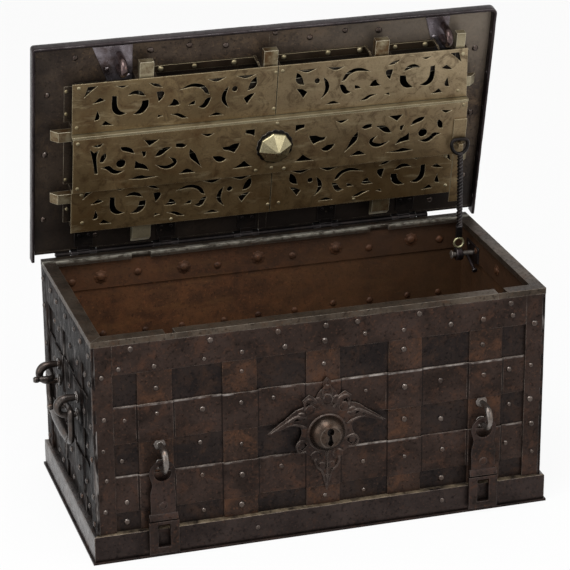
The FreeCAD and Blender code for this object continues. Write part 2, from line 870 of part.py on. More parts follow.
def rail_bars():
    """Flat rails in front of the case between the bolts, each with a bent leaf at its end."""
    flat, leaves = [], []
    v0, v1 = row_top - rail_in, row_top + rail_out
    leaf_v = row_top + rail_leaf_out
    for k in range(len(front_bolt_xs) - 1):
        a = front_bolt_xs[k] + front_bolt_ws[k] / 2 + guide_t
        b = front_bolt_xs[k + 1] - front_bolt_ws[k + 1] / 2 - guide_t
        for x in ring_xs:
            if a < x < b:
                b = x - ring_rod_r - 5.0
        flat.append(box(a, b, v0, v1, sheet_n1, sheet_n1 + rail_t))
        leaves.append(prism_z([(b - rail_leaf_t - leaf_slant, leaf_v), (b - leaf_slant, leaf_v),
                               (b, row_top - 1), (b - rail_leaf_t, row_top - 1)],
                              sheet_n1 + rail_t, cover_low - rail_leaf_play))
    return flat, leaves


def staple_plates():
    """Sheared plates, the left one wide at the front, the right one stepped over the rail."""
    gap = 0.3
    v0, v1 = row_top - front_inset, lid_front - plate_edge
    step_v = row_top + rail_out + gap
    x = ring_xs[0]
    end = front_bolt_xs[0] - front_bolt_ws[0] / 2 - guide_t - gap
    outlines = [[(x - 47, v1), (x - 20, v0), (end, v0), (end, v1)]]
    x = ring_xs[1]
    end = front_bolt_xs[-1] - front_bolt_ws[-1] / 2 - guide_t - gap
    near = x - ring_rod_r - 4
    outlines.append([(x - 34, v1), (x - 20, step_v), (near, step_v), (near, v0), (end, v0), (end, v1)])
    rods = group(ring_rods())
    return on_lid([prism_z(outline, sheet_n1, sheet_n1 + plate_t).cut(rods) for outline in outlines])


# Lock


def spiral_slot(direction):
    """Slot of constant pitch: the peg moves inwards by bolt_stroke over cam_turn degrees."""
    sweep = math.radians(cam_turn)
    pitch = bolt_stroke / sweep
    extra = (peg_r + 1.5) / (peg_out - bolt_stroke)
    count = 9
    inner, outer = [], []
    for k in range(count + 1):
        t = -extra + (sweep + 2 * extra) * k / count
        a = direction - t
        for side, line in ((-1, inner), (1, outer)):
            r = peg_out - pitch * t + side * (peg_r + peg_play)
            line.append((lock_x + r * math.cos(a), lock_v + r * math.sin(a)))
    n0 = sheet_n1 + cam_lift
    return prism_z(inner + outer[::-1], n0 - 1, n0 + cam_t + 1)


def lock_cam():
    n0 = sheet_n1 + cam_lift
    cam = prism_z(circle_points(lock_x, lock_v, cam_r, 32), n0, n0 + cam_t)
    for quarter in range(4):
        cam = cam.cut(spiral_slot(quarter * math.pi / 2))
    spindle = prism_z(circle_points(lock_x, lock_v, spindle_r, 8), sheet_n1 + 0.4, cover_high - 1.0)
    return on_lid([cam.fuse(spindle)])


def peg(x, v):
    return prism_z(circle_points(x, v, peg_r, 10), sheet_n1 + cam_lift + 0.6, bolt_n0)


def bevelled(tip, root):
    """Side view of a bolt, from its bevelled tip to its root, as (run, n) points."""
    back = math.copysign(bolt_bevel, root - tip)
    return [(root, bolt_n0), (tip, bolt_n0), (tip, bolt_n0 + tip_flat), (tip + back, bolt_n1),
            (root, bolt_n1)]


def bolts_front():
    solids = [box(x - w / 2, x + w / 2, front_tie, front_tip, bolt_n0, bolt_n1)
              for x, w in zip(front_bolt_xs, front_bolt_ws)]
    solids.append(box(front_bolt_xs[0] - front_bolt_ws[0] / 2, front_bolt_xs[-1] + front_bolt_ws[-1] / 2,
                      front_tie - tie_w, front_tie, bolt_n0, bolt_n1))
    solids.append(box(lock_x - arm_half, lock_x + arm_half, lock_v + peg_out - 5, front_tie - tie_w,
                      bolt_n0, bolt_n1))
    solids.append(peg(lock_x, lock_v + peg_out))
    return on_lid(solids)


def bolts_rear():
    solids = [prism_x(bevelled(rear_tip, rear_tie), x - rear_bolt_w / 2, x + rear_bolt_w / 2)
              for x in rear_bolt_xs]
    solids.append(box(rear_bolt_xs[0] - rear_bolt_w / 2, rear_bolt_xs[1] + rear_bolt_w / 2, rear_tie,
                      rear_tie + tie_w, bolt_n0, bolt_n1))
    solids.append(box(lock_x - arm_half, lock_x + arm_half, rear_tie + tie_w, lock_v - peg_out + 5,
                      bolt_n0, bolt_n1))
    solids.append(peg(lock_x, lock_v - peg_out))
    return on_lid(solids)


def bolts_side(side):
    end = case_x1 if side > 0 else case_x0
    tie = end - side * side_tie_in
    half = side_bolt_w / 2
    low, high = side_bolt_vs[side]
    solids = [prism_y(bevelled(side * side_tip, tie), v - half, v + half) for v in (low, high)]
    x0, x1 = sorted((tie, tie - side * tie_w))
    solids.append(box(x0, x1, low - half, high + half, bolt_n0, bolt_n1))
    x0, x1 = sorted((tie - side * tie_w, lock_x + side * (peg_out - 5)))
    solids.append(box(x0, x1, lock_v - arm_half, lock_v + arm_half, bolt_n0, bolt_n1))
    solids.append(peg(lock_x + side * peg_out, lock_v))
    return on_lid(solids)


def guide(centre, bolt_w, s0, s1, along_v):
    """Bed and two cheeks round a bolt."""
    c0, c1 = centre - bolt_w / 2, centre + bolt_w / 2
    bed = bolt_n0 - bolt_play
    spans = [(c0 - guide_t, c1 + guide_t, sheet_n1, bed), (c0 - guide_t, c0 - bolt_play, bed, cover_low),
             (c1 + bolt_play, c1 + guide_t, bed, cover_low)]
    if along_v:
        return [box(a, b, s0, s1, n0, n1) for a, b, n0, n1 in spans]
    return [box(s0, s1, a, b, n0, n1) for a, b, n0, n1 in spans]


def bolt_guides():
    solids = []
    for x, w in zip(front_bolt_xs, front_bolt_ws):
        solids += guide(x, w, row_top - front_inset, row_top - 2, True)
    for x in rear_bolt_xs:
        solids += guide(x, rear_bolt_w, row_bottom + 2, row_bottom + 2 + guide_len, True)
    for side, end in ((-1, case_x0), (1, case_x1)):
        s0, s1 = sorted((end - side * 2, end - side * side_inset))
        for v in side_bolt_vs[side]:
            solids += guide(v, side_bolt_w, s0, s1, False)
    return on_lid(solids)


def stretches(start, end, bolts):
    """What is left of a wall between start and end when the bolts have gone through it."""
    stops = [start]
    for centre, bolt_w in sorted(bolts):
        stops += [centre - bolt_w / 2 - guide_t, centre + bolt_w / 2 + guide_t]
    stops.append(end)
    return [(a, b) for a, b in zip(stops[0::2], stops[1::2]) if b - a > case_wall_t]


def lock_case():
    """Walls set in under the covers, with a flat flange outside each end wall."""
    t = case_wall_t
    left, right = case_x0 + side_inset, case_x1 - side_inset
    front, rear = row_top - front_inset, row_bottom + 2
    solids = []
    for a, b in stretches(left, right, list(zip(front_bolt_xs, front_bolt_ws))):
        solids.append(box(a, b, front - t, front, sheet_n1, cover_low))
    for a, b in stretches(case_x0 + 4, case_x1 - side_inset, [(x, rear_bolt_w) for x in rear_bolt_xs]):
        solids.append(box(a, b, rear, rear + t, sheet_n1, cover_low))
    clear_of_tie = front_tie - tie_w - bolt_stroke - case_wall_t
    for side, x, wall_end in ((-1, left, front - t), (1, right, clear_of_tie)):
        bolts = [(v, side_bolt_w) for v in side_bolt_vs[side]]
        x0, x1 = sorted((x, x - side * t))
        for a, b in stretches(rear + t, wall_end, bolts):
            solids.append(box(x0, x1, a, b, sheet_n1, cover_low))
        x0, x1 = sorted((x, x + side * (side_inset + flange_w)))
        for a, b in stretches(rear + t, front - t, bolts):
            solids.append(box(x0, x1, a, b, sheet_n1, sheet_n1 + flange_t))
    return on_lid(solids)


# Pierced cover plates. The right half is drawn, and the left half is its mirror image.
border = [
    [(47, 342), (53, 338), (58, 328), (60, 318), (50, 320), (45, 329)],
    [(49, 310), (58, 309), (67, 302), (61, 292), (56, 300)],
    [(81, 327), (86, 328), (89, 324), (88, 319), (83, 318), (80, 322)],
    [(97, 327), (103, 322), (107, 312), (107, 303), (103, 295), (96, 289), (100, 299), (101, 309), (99, 318)],
    [(52, 347), (78, 347), (65, 341)],
    [(105, 347), (130, 346), (117, 340)],
    [(106, 274), (126, 274), (116, 280)],
    [(131, 318), (137, 320), (141, 328), (150, 334), (161, 336), (178, 333), (166, 340), (153, 341),
     (141, 336), (134, 328)],
    [(127, 310), (133, 310), (138, 304), (140, 298), (147, 294), (139, 290), (132, 296)],
    [(155, 306), (160, 305), (165, 300), (156, 300)],
    [(183, 303), (187, 311), (193, 314), (195, 307), (201, 302), (188, 301)],
    [(169, 275), (178, 275), (184, 280), (194, 284), (184, 285), (176, 280)],
    [(210, 327), (213, 332), (223, 331), (219, 313), (214, 318)],
    [(216, 341), (221, 347), (234, 349), (227, 343)],
    [(214, 283), (219, 285), (220, 281)],
    [(238, 317), (248, 316), (249, 307), (254, 299), (262, 292), (251, 291), (242, 298), (238, 307)],
    [(245, 327), (249, 334), (257, 338), (266, 337), (272, 331), (261, 332), (251, 328)],
    [(294, 330), (301, 331), (302, 306), (296, 296), (287, 292), (278, 295), (288, 300), (293, 309),
     (294, 318)],
    [(316, 325), (323, 330), (333, 321), (325, 322)],
    [(330, 353), (344, 353), (349, 336), (341, 344)],
    [(323, 292), (327, 303), (331, 287), (326, 287)],
    [(302, 275), (313, 283), (318, 276)],
    [(278, 349), (291, 350), (284, 346)]]
middle = [
    [(48, 243), (63, 243), (63, 237), (54, 235), (48, 231)],
    [(74, 218), (86, 218), (93, 213), (104, 213), (101, 207), (92, 206), (83, 201), (78, 208)],
    [(98, 189), (108, 196), (121, 196), (116, 188), (110, 184), (102, 185)],
    [(52, 169), (59, 175), (64, 181), (70, 175), (81, 168)],
    [(124, 243), (141, 244), (132, 238)],
    [(163, 216), (164, 208), (162, 198), (153, 190), (144, 181), (149, 193), (153, 205)],
    [(171, 225), (178, 230), (188, 230), (188, 224), (176, 221)],
    [(199, 224), (210, 225), (220, 219), (225, 209), (215, 210), (206, 218)],
    [(198, 203), (190, 201), (186, 194), (190, 186), (200, 181), (212, 183), (221, 190), (208, 187),
     (198, 189), (192, 193), (194, 199)],
    [(155, 169), (163, 175), (169, 178), (179, 169)],
    [(222, 242), (244, 243), (236, 232)],
    [(243, 220), (249, 221), (246, 211), (243, 213)],
    [(238, 184), (243, 194), (254, 198), (260, 203), (261, 189), (250, 188)],
    [(228, 168), (243, 170), (250, 174), (267, 168), (248, 166)],
    [(264, 220), (267, 229), (278, 234), (287, 234), (285, 228), (274, 224)],
    [(284, 210), (290, 209), (294, 204), (294, 198), (289, 194), (283, 194), (279, 199), (279, 205)],
    [(312, 220), (315, 225), (322, 219), (323, 208), (317, 208)],
    [(283, 186), (293, 181), (303, 184), (311, 193), (319, 196), (307, 200), (301, 192), (293, 187)],
    [(320, 244), (335, 242), (326, 238)]]
left_leaf = [(340, 233), (334, 227), (327, 231), (331, 219), (328, 186), (332, 186), (335, 210)]

seam = lock_x + 2.0


def sized(outlines, side, margin, start, low, high):
    """Fits drawn piercings to a plate: from a start beside the spindle to a margin, and from low to high."""
    xs = [x for outline in outlines for x, v in outline]
    vs = [v for outline in outlines for x, v in outline]
    reach = (case_x1 - lock_x if side > 0 else lock_x - case_x0) - margin
    kx = (reach - start) / (max(xs) - min(xs))
    kv = (high - low) / (max(vs) - min(vs))
    return [[(lock_x + side * (start + (x - min(xs)) * kx), low + (v - min(vs)) * kv) for x, v in outline]
            for outline in outlines]


def border_holes(side, low, high):
    return sized(border, side, border_margins[side], border_start, low, high)


def pierced(outline, low, holes):
    """Plate of a given outline with every piercing cut through it."""
    wires = [Part.makePolygon([vec(x, v, low) for x, v in outline + outline[:1]])]
    for hole in holes:
        corners = [vec(x, v, low) for x, v in hole]
        area = sum(p.x * q.y - q.x * p.y for p, q in zip(corners, corners[1:] + corners[:1]))
        if area > 0:
            corners.reverse()
        wires.append(Part.makePolygon(corners + [corners[0]]))
    return Part.Face(wires).extrude(vec(0, 0, cover_t))


def rectangle(x0, x1, v0, v1):
    return [(x0, v0), (x1, v0), (x1, v1), (x0, v1)]


def cover_upper(side):
    if side < 0:
        outline = rectangle(case_x0, seam, row_upper + 2, row_top)
    else:
        outline = [(seam, row_upper + 2), (case_x1, row_upper + 2), (case_x1 - cover_slant, row_top),
                   (seam, row_top)]
    holes = border_holes(side, row_upper + upper_foot, row_top - upper_head)
    return on_lid([pierced(outline, cover_low, holes)])


def cover_lower(side):
    x0, x1 = (case_x0, seam) if side < 0 else (seam, case_x1 - side_strap_in)
    holes = border_holes(side, row_bottom + lower_foot, row_lower - lower_head)
    return on_lid([pierced(rectangle(x0, x1, row_bottom, row_lower), cover_low, holes)])


def cover_middle():
    """Raised middle plate with a ledge along each long edge."""
    v0, v1 = row_lower - 2, row_upper - 2
    start, low, high = collar_r + 4.0, row_lower + middle_foot, row_upper - middle_head
    holes = sized(middle + [left_leaf], -1, middle_margins[-1], start, low, high)
    holes += sized(middle, 1, middle_margins[1], start, low, high)
    return on_lid([pierced(rectangle(case_x0, case_x1, v0, v1), cover_high, holes),
                   box(case_x0, case_x1, v1, v1 + ledge_w, cover_low, cover_top),
                   box(case_x0, case_x1, v0, v0 + 3, cover_low + cover_t, cover_high)])


def cover_boss():
    """Faceted boss over the spindle, on a round collar."""
    facets = [(30.0, 3.0), (30.0, 7.0), (2.5, 27.0)]
    collar = prism_z(circle_points(lock_x, lock_v, collar_r, 16), cover_top, cover_top + facets[0][1])
    stem = prism_z(circle_points(lock_x, lock_v, facets[0][0], 8), cover_top + facets[0][1],
                   cover_top + facets[1][1])
    levels = [[vec(x, v, cover_top + rise) for x, v in circle_points(lock_x, lock_v, r, 8)]
              for r, rise in facets[1:]]
    return on_lid([collar, stem, between(levels)])


# Keyhole cover outside the lid, swung clear of the keyhole

band_n = sheet_n0 - 2 * strap_t
pad = 0.2
cover_pivot_x = lock_x + key_cover_off


def keyhole_cover():
    x, v, tail = cover_pivot_x, lock_v, key_cover_len
    return on_lid([prism_z([(x - 9, v - 8), (x + 9, v - 8), (x + 13, v + tail - 14), (x, v + tail),
                            (x - 13, v + tail - 14)], band_n - key_cover_t - pad, band_n - pad)])


def keyhole_rivet():
    return on_lid([prism_z(circle_points(cover_pivot_x, lock_v, 7.0, 10), band_n - 2 * (key_cover_t + pad),
                           band_n - key_cover_t - 2 * pad)])


flat_rails, leaf_ends = rail_bars()
nodes = {
    "base_plate": base_plate(),
    "base_skirting": base_skirting(),
    "front_plate": front_plate(),
    "back_plate": back_plate(),
    "side_plate_left": side_plate(-1),
    "side_plate_right": side_plate(1),
    "rim_frame": rim_frame(),
    "inner_strip": inner_strip(),
    "corner_angles": corner_angles(),
    "top_bands": top_bands(),
    "front_straps": long_straps(-1),
    "back_straps": long_straps(1),
    "side_straps": side_straps(),
    "front_bands": long_bands(-1),
    "back_bands": long_bands(1),
    "side_bands": side_bands(),
    "false_lock_plate": false_lock_plate(),
    "front_staples": front_staples(),
    "hasp_left": hasp(-1),
    "hasp_right": hasp(1),
    "handle_eyes": handle_eyes(),
    "bail_left": bail(-1),
    "bail_right": bail(1),
    "hinge_leaves_body": hinge_leaves_body(),
    "hinge_pins": hinge_rod(),
    "hinge_leaves_lid": hinge_leaves_lid(),
    "stay_bracket": stay_bracket(),
    "stay_knuckle": stay_knuckle(),
    "stay_link": stay_link(),
    "stay_rod": stay_rod(),
    "stay_lug": stay_lug(),
    "lid_sheet": lid_sheet(),
    "lid_skirt": lid_skirt(),
    "lid_straps": lid_straps(),
    "lid_bands": lid_bands(),
    "lid_staples": on_lid(ring_rods()),
    "staple_plates": staple_plates(),
    "leaf_springs": on_lid(flat_rails + leaf_ends),
    "lock_cam": lock_cam(),
    "bolts_front": bolts_front(),
    "bolts_rear": bolts_rear(),
    "bolts_left": bolts_side(-1),
    "bolts_right": bolts_side(1),
    "bolt_guides": bolt_guides(),
    "lock_case": lock_case(),
    "cover_upper_left": cover_upper(-1),
    "cover_upper_right": cover_upper(1),
    "cover_lower_left": cover_lower(-1),
    "cover_lower_right": cover_lower(1),
    "cover_middle": cover_middle(),
    "cover_boss": cover_boss(),
    "keyhole_cover": keyhole_cover(),
    "keyhole_rivet": keyhole_rivet(),
}
for name, shape in nodes.items():
    shape.exportStep("parts/" + name + ".step")
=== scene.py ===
import math
import random

import bmesh
import bpy
from mathutils import Matrix, Vector, noise


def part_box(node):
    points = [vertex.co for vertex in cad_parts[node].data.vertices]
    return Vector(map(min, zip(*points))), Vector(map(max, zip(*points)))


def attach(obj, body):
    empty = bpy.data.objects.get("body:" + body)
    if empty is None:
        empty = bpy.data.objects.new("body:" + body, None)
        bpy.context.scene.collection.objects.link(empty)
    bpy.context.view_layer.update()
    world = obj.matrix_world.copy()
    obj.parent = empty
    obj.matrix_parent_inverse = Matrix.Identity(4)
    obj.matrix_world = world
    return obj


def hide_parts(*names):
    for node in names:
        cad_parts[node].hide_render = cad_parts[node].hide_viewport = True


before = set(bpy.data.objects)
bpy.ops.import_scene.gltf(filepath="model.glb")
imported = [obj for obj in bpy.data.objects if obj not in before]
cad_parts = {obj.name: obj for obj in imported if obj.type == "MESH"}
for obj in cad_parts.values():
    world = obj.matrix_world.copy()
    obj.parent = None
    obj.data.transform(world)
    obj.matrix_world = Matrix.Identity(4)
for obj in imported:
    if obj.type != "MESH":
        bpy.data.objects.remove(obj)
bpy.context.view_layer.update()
MM = 0.001

# The open lid's own axes: x, v away from the hinge, and n towards its inner side
TILT = math.radians(77.5)
HINGE = Vector((0, 0.2055, 0.4045))
LID_V = Vector((0, -math.cos(TILT), math.sin(TILT)))
LID_N = Vector((0, -math.sin(TILT), -math.cos(TILT)))
X, Y, Z = Vector((1, 0, 0)), Vector((0, 1, 0)), Vector((0, 0, 1))
ORIGIN = Vector((0, 0, 0))
ON_LID = (HINGE, X, LID_V, LID_N)
ON_FRONT = (ORIGIN, X, Z, -Y)

# The lid's cover plates: reach along x, the middle row's edges, levels of the faces, and thickness
COVER_X0, COVER_X1 = -352.0, 368.0
MIDDLE_V0, MIDDLE_V1 = 149.7, 258.33
LOW_ROWS, HIGH_ROW = 30.5, 41.0
COVER_T = 2.5


def at(x, y, z):
    return Vector((x, y, z)) * MM


def lid(x, v, n):
    return HINGE + (X * x + LID_V * v + LID_N * n) * MM


def wave(*values):
    return noise.noise(Vector(values))


# Materials


def srgb(r, g, b, gain=1.0):
    """Linear colour of a screen colour given as 0 to 255."""
    def one(c):
        c /= 255.0
        return c / 12.92 if c <= 0.04045 else ((c + 0.055) / 1.055) ** 2.4
    return [one(c) * gain for c in (r, g, b)]


class Nodes:
    """Short names for the few node kinds that a material or the world uses."""

    def __init__(self, owner, output="ShaderNodeOutputMaterial", shader="ShaderNodeBsdfPrincipled"):
        self.mat = owner
        self.mat.use_nodes = True
        self.tree = self.mat.node_tree
        self.tree.nodes.clear()
        self.out = self.new(output)
        self.shader = self.new(shader)
        self.fill(self.out, {0: self.shader.outputs[0]})
        self.coords = self.new("ShaderNodeTexCoord").outputs

    def fill(self, node, inputs):
        """Sets inputs, by name or number, to values or to the outputs of other nodes."""
        for key, value in inputs.items():
            if hasattr(value, "links"):
                self.tree.links.new(value, node.inputs[key])
            else:
                node.inputs[key].default_value = value

    def new(self, kind, inputs=None, **props):
        node = self.tree.nodes.new(kind)
        for key, value in props.items():
            setattr(node, key, value)
        self.fill(node, inputs or {})
        return node

    def placed(self, kind, scale, stretch, shift=(0, 0, 0), inputs=None, **props):
        """Texture node on the object's coordinates, stretched and shifted."""
        where = {0: self.coords["Object"], "Scale": stretch, "Location": shift}
        mapped = self.new("ShaderNodeMapping", where).outputs[0]
        return self.new(kind, {"Vector": mapped, "Scale": scale, **(inputs or {})}, **props)

    def noise(self, scale, detail=3.0, rough=0.55, stretch=(1, 1, 1), distort=0.0, shift=(0, 0, 0)):
        inputs = {"Detail": detail, "Roughness": rough, "Distortion": distort}
        return self.placed("ShaderNodeTexNoise", scale, stretch, shift, inputs).outputs[0]

    def cells(self, scale, stretch=(1, 1, 1)):
        return self.placed("ShaderNodeTexVoronoi", scale, stretch, feature="SMOOTH_F1").outputs["Distance"]

    def span(self, value, low, high, a=0.0, b=1.0):
        """Turns a range of a value into another one, held at its ends."""
        inputs = {"Value": value, "From Min": low, "From Max": high, "To Min": a, "To Max": b}
        return self.new("ShaderNodeMapRange", inputs).outputs[0]

    def math(self, op, a, b=0.0):
        return self.new("ShaderNodeMath", {0: a, 1: b}, operation=op).outputs[0]

    def times(self, first, *others):
        for other in others:
            first = self.math("MULTIPLY", first, other)
        return first

    def within(self, value, low, high, soft):
        """1 between two levels, with soft ends."""
        return self.times(self.span(value, low, low + soft), self.span(value, high, high - soft))

    def mix(self, factor, a, b):
        """Mixes two colours, each an output or a screen colour with a gain if a fourth number is given."""
        a, b = (c if hasattr(c, "links") else (*srgb(*c), 1.0) for c in (a, b))
        return self.new("ShaderNodeMix", {0: factor, 6: a, 7: b}, data_type="RGBA").outputs[2]

    def dot(self, vector, other):
        node = self.new("ShaderNodeVectorMath", {0: vector, 1: other}, operation="DOT_PRODUCT")
        return node.outputs["Value"]

    def along(self, direction, origin=ORIGIN):
        """Distance of the surface point from an origin along a direction, in metres."""
        return self.math("SUBTRACT", self.dot(self.coords["Object"], direction), origin.dot(direction))

    def rounded(self, radius):
        return self.new("ShaderNodeBevel", {"Radius": radius}, samples=6).outputs[0]

    def edges(self, radius, low, high):
        """0 on flats, 1 on edges, from how far a rounded normal turns away."""
        flat = self.new("ShaderNodeNewGeometry").outputs["Normal"]
        return self.span(self.dot(self.rounded(radius), flat), high, low)

    def finish(self, colour, metal, specular, roughness, height, dents, depth, edge_r):
        """Sets the shader, with dents of a depth in metres and edges rounded by a radius."""
        bump = self.new("ShaderNodeBump", {"Strength": dents, "Distance": depth, "Height": height,
                                           "Normal": self.rounded(edge_r)})
        self.fill(self.shader, {"Base Color": colour, "Metallic": metal, "Specular IOR Level": specular,
                                "Roughness": roughness, "Normal": bump.outputs[0]})


# Finished materials by name
looks = {}
FORGED_EDGE = 0.0012


def forged(name, dark, mid, patch, metal=0.85, rough=(0.36, 0.6), patch_at=(0.52, 0.68), worn=None,
           dents=0.5, grain=(1, 1, 1), reflection_streaks=None, top_highlight=None, shade=None, grazing=1.0):
    """Hammered iron: two tones, rust patches, pits, edges rubbed bright, and where asked a painted reflection
    in vertical lines and a painted highlight on upward faces.
    """
    n = Nodes(bpy.data.materials.new(name))
    broad = n.noise(14, 5, 0.6, distort=0.4)
    fine = n.noise(170, 5, 0.65, stretch=grain)
    colour = n.mix(n.span(broad, 0.38, 0.64), dark, mid)
    rusty = n.times(n.span(n.noise(26, 6, 0.7, shift=(3, 1, 2), distort=0.6), *patch_at),
                   n.span(fine, 0.35, 0.6, 0.45, 1.0))
    colour = n.mix(rusty, colour, patch)
    specks = n.span(n.noise(230, 4, 0.7, shift=(8, 3, 6), stretch=grain), 0.57, 0.68, 0.0, 0.7)
    colour = n.mix(specks, colour, (*patch, 1.25))
    colour = n.mix(n.span(fine, 0.54, 0.68, 0.0, 0.75), colour, (*dark, 0.3))
    # Painted reflection: whitish vertical lines standing for a light mirrored in glossy sides
    if reflection_streaks:
        lines = n.noise(130, 3, 0.6, stretch=(1, 1, 0.1), shift=(5, 0, 0))
        spots = n.noise(17, 4, 0.6, stretch=(1, 1, 0.5), shift=(0, 7, 0))
        mask = n.times(n.span(lines, 0.54, 0.62), n.span(spots, 0.47, 0.6))
        colour = n.mix(mask, colour, reflection_streaks)
    if shade:
        colour = shade(n, colour)
    # Painted highlight on faces that look upward
    if top_highlight:
        upward = n.dot(n.coords["Normal"], Z)
        ridge = n.times(n.span(upward, 0.45, 0.85), n.span(n.noise(38, 4, 0.65), 0.36, 0.6))
        colour = n.mix(ridge, colour, top_highlight)
    if worn:
        rub = n.times(n.edges(FORGED_EDGE * 1.4, 0.93, 0.995), n.span(n.noise(45, 4, 0.6), 0.35, 0.6))
        colour = n.mix(rub, colour, worn)
    n.fill(n.shader, {"Specular Tint": (grazing, grazing, grazing, 1.0)})
    height = n.math("ADD", n.times(n.cells(42, stretch=grain), 0.8), n.times(fine, 0.35))
    height = n.math("ADD", height, n.times(n.noise(620, 2, 0.6), 0.1))
    n.finish(colour, metal, 0.3, n.span(fine, 0.3, 0.7, *rough), height, dents, 0.0016, FORGED_EDGE)
    looks[name] = n.mat


def filed(name, low, high, brown, metal=0.7, rough=(0.3, 0.48), brown_at=(0.5, 0.72), edge_r=0.0006,
          dents=0.25, worn=None, shade=None):
    """Filed and rubbed metal with a cloudy brown patina and fine scratches."""
    n = Nodes(bpy.data.materials.new(name))
    cloud = n.noise(9, 5, 0.62, distort=0.5)
    scratch = n.noise(380, 3, 0.6)
    colour = n.mix(n.span(cloud, 0.36, 0.64), low, high)
    colour = n.mix(n.span(n.noise(16, 6, 0.68, shift=(2, 5, 1)), *brown_at), colour, brown)
    if shade:
        colour = shade(n, colour)
    colour = n.mix(n.span(scratch, 0.52, 0.7, 0.0, 0.35), colour, (*low, 0.5))
    if worn:
        colour = n.mix(n.edges(edge_r * 1.6, 0.9, 0.99), colour, worn)
    roughness = n.span(n.noise(34, 4, 0.6), 0.3, 0.7, *rough)
    height = n.math("ADD", n.times(scratch, 0.3), n.times(n.noise(60, 4, 0.6), 0.7))
    n.finish(colour, metal, 0.35, roughness, height, dents, 0.0008, edge_r)
    looks[name] = n.mat


def painted_shade_under_covers(n, colour, tone=(14, 11, 9), top=0.36):
    """Painted shade on what the cover plates hide."""
    across = n.within(n.along(X), COVER_X0 * MM, COVER_X1 * MM, 0.012)
    up = n.within(n.along(LID_V, HINGE), 0.06, top, 0.01)
    return n.mix(n.times(across, up), colour, tone)


def bolt_tips(n, colour):
    """Painted shade under the covers, and paler near the rear bolts' tips, where they swing past the rim."""
    # painted shade under the cover plates
    colour = painted_shade_under_covers(n, colour, (24, 19, 15))
    return n.mix(n.span(n.along(LID_V, HINGE), 0.034, 0.027, 0.0, 0.8), colour, (204, 192, 160))


def inside_case(n, colour):
    """Sheet: painted shade making it black near the hinges, black also on the left, painted light making it
    paler in the far right corner, and painted shade under the lock.
    """
    x, v = n.along(X), n.along(LID_V, HINGE)
    cloud = n.span(n.noise(11, 4, 0.6, shift=(4, 8, 1)), 0.35, 0.65)
    # Painted light: the far right corner paler
    pale = n.times(n.span(x, 0.0, 0.42), n.span(v, 0.24, 0.4), 0.8)
    colour = n.mix(pale, colour, (128, 118, 106))
    # Painted shade near the hinges, joined with the darker left side
    low = n.times(n.span(v, 0.19, 0.05), n.span(cloud, 0.0, 1.0, 0.75, 1.0))
    left = n.times(n.span(x, -0.3, -0.4), n.span(cloud, 0.0, 1.0, 0.25, 0.9))
    colour = n.mix(n.math("MAXIMUM", low, left), colour, (33, 28, 26))
    # Painted shade under the cover plates
    return painted_shade_under_covers(n, colour, top=0.352)


def painted_band_highlights_and_creases(n, colour):
    """Painted highlights along the upper edges of the bands, and painted shade in dark creases where they
    cross the straps.
    """
    x, z = n.along(X), n.along(Z)
    patchy = n.times(n.span(n.noise(5, 5, 0.75, stretch=(1, 1, 0.2), shift=(1, 6, 3)), 0.44, 0.6),
                     n.span(n.noise(70, 3, 0.6, shift=(2, 2, 3)), 0.36, 0.58, 0.2, 1.0),
                     n.span(n.math("ABSOLUTE", x), 0.3655, 0.362))
    # Painted highlight lines on the upper edges of the bands
    for level, tone in ((0.1526, (138, 130, 124)), (0.2796, (160, 152, 146))):
        away = n.math("ABSOLUTE", n.math("SUBTRACT", z, level))
        colour = n.mix(n.times(n.span(away, 0.0024, 0.0008), patchy), colour, tone)
    # Painted shade: dark lines beside the straps' edges
    beside = n.math("ABSOLUTE", n.math("SUBTRACT", n.math("PINGPONG", x, 0.07325), 0.0318))
    crease_shade = n.times(n.span(beside, 0.0017, 0.0006), n.span(z, 0.337, 0.335), 0.75)
    return n.mix(crease_shade, colour, (16, 12, 11))


def rim_wear(n, colour):
    """Pale flecks along the back edge, where the lid has rubbed."""
    y, z = n.along(Y), n.along(Z)
    flecks = n.span(n.noise(120, 4, 0.7, stretch=(0.5, 1, 1), shift=(6, 1, 1)), 0.42, 0.56, 0.1, 0.9)
    line = n.times(n.span(y, 0.187, 0.181), n.span(y, 0.17, 0.174), n.span(z, 0.397, 0.4025), flecks)
    return n.mix(line, colour, (190, 186, 172))


def inside_scuffs_and_shade(n, colour):
    """Greener brown towards the right, painted shade darkening it towards the bottom, and long pale scuffs.
    """
    x, z = n.along(X), n.along(Z)
    scuff = n.noise(30, 5, 0.7, stretch=(0.25, 0.25, 1.4), shift=(3, 2, 9))
    colour = n.mix(n.span(scuff, 0.52, 0.66, 0.0, 0.35), colour, (112, 78, 46))
    colour = n.mix(n.times(n.span(x, -0.15, 0.3), 0.75), colour, (56, 38, 21))
    colour = n.mix(n.times(n.span(z, 0.339, 0.342), 0.4), colour, (46, 29, 19))
    # Painted shade deep down in the chest
    return n.mix(n.times(n.span(z, 0.2, 0.02), 0.5), colour, (38, 25, 16))


def floor_rust(n, colour):
    """Rust on the floor inside the walls."""
    x, y = n.math("ABSOLUTE", n.along(X)), n.math("ABSOLUTE", n.along(Y))
    return n.mix(n.times(n.span(x, 0.392, 0.388), n.span(y, 0.19, 0.186)), colour, (78, 50, 32))


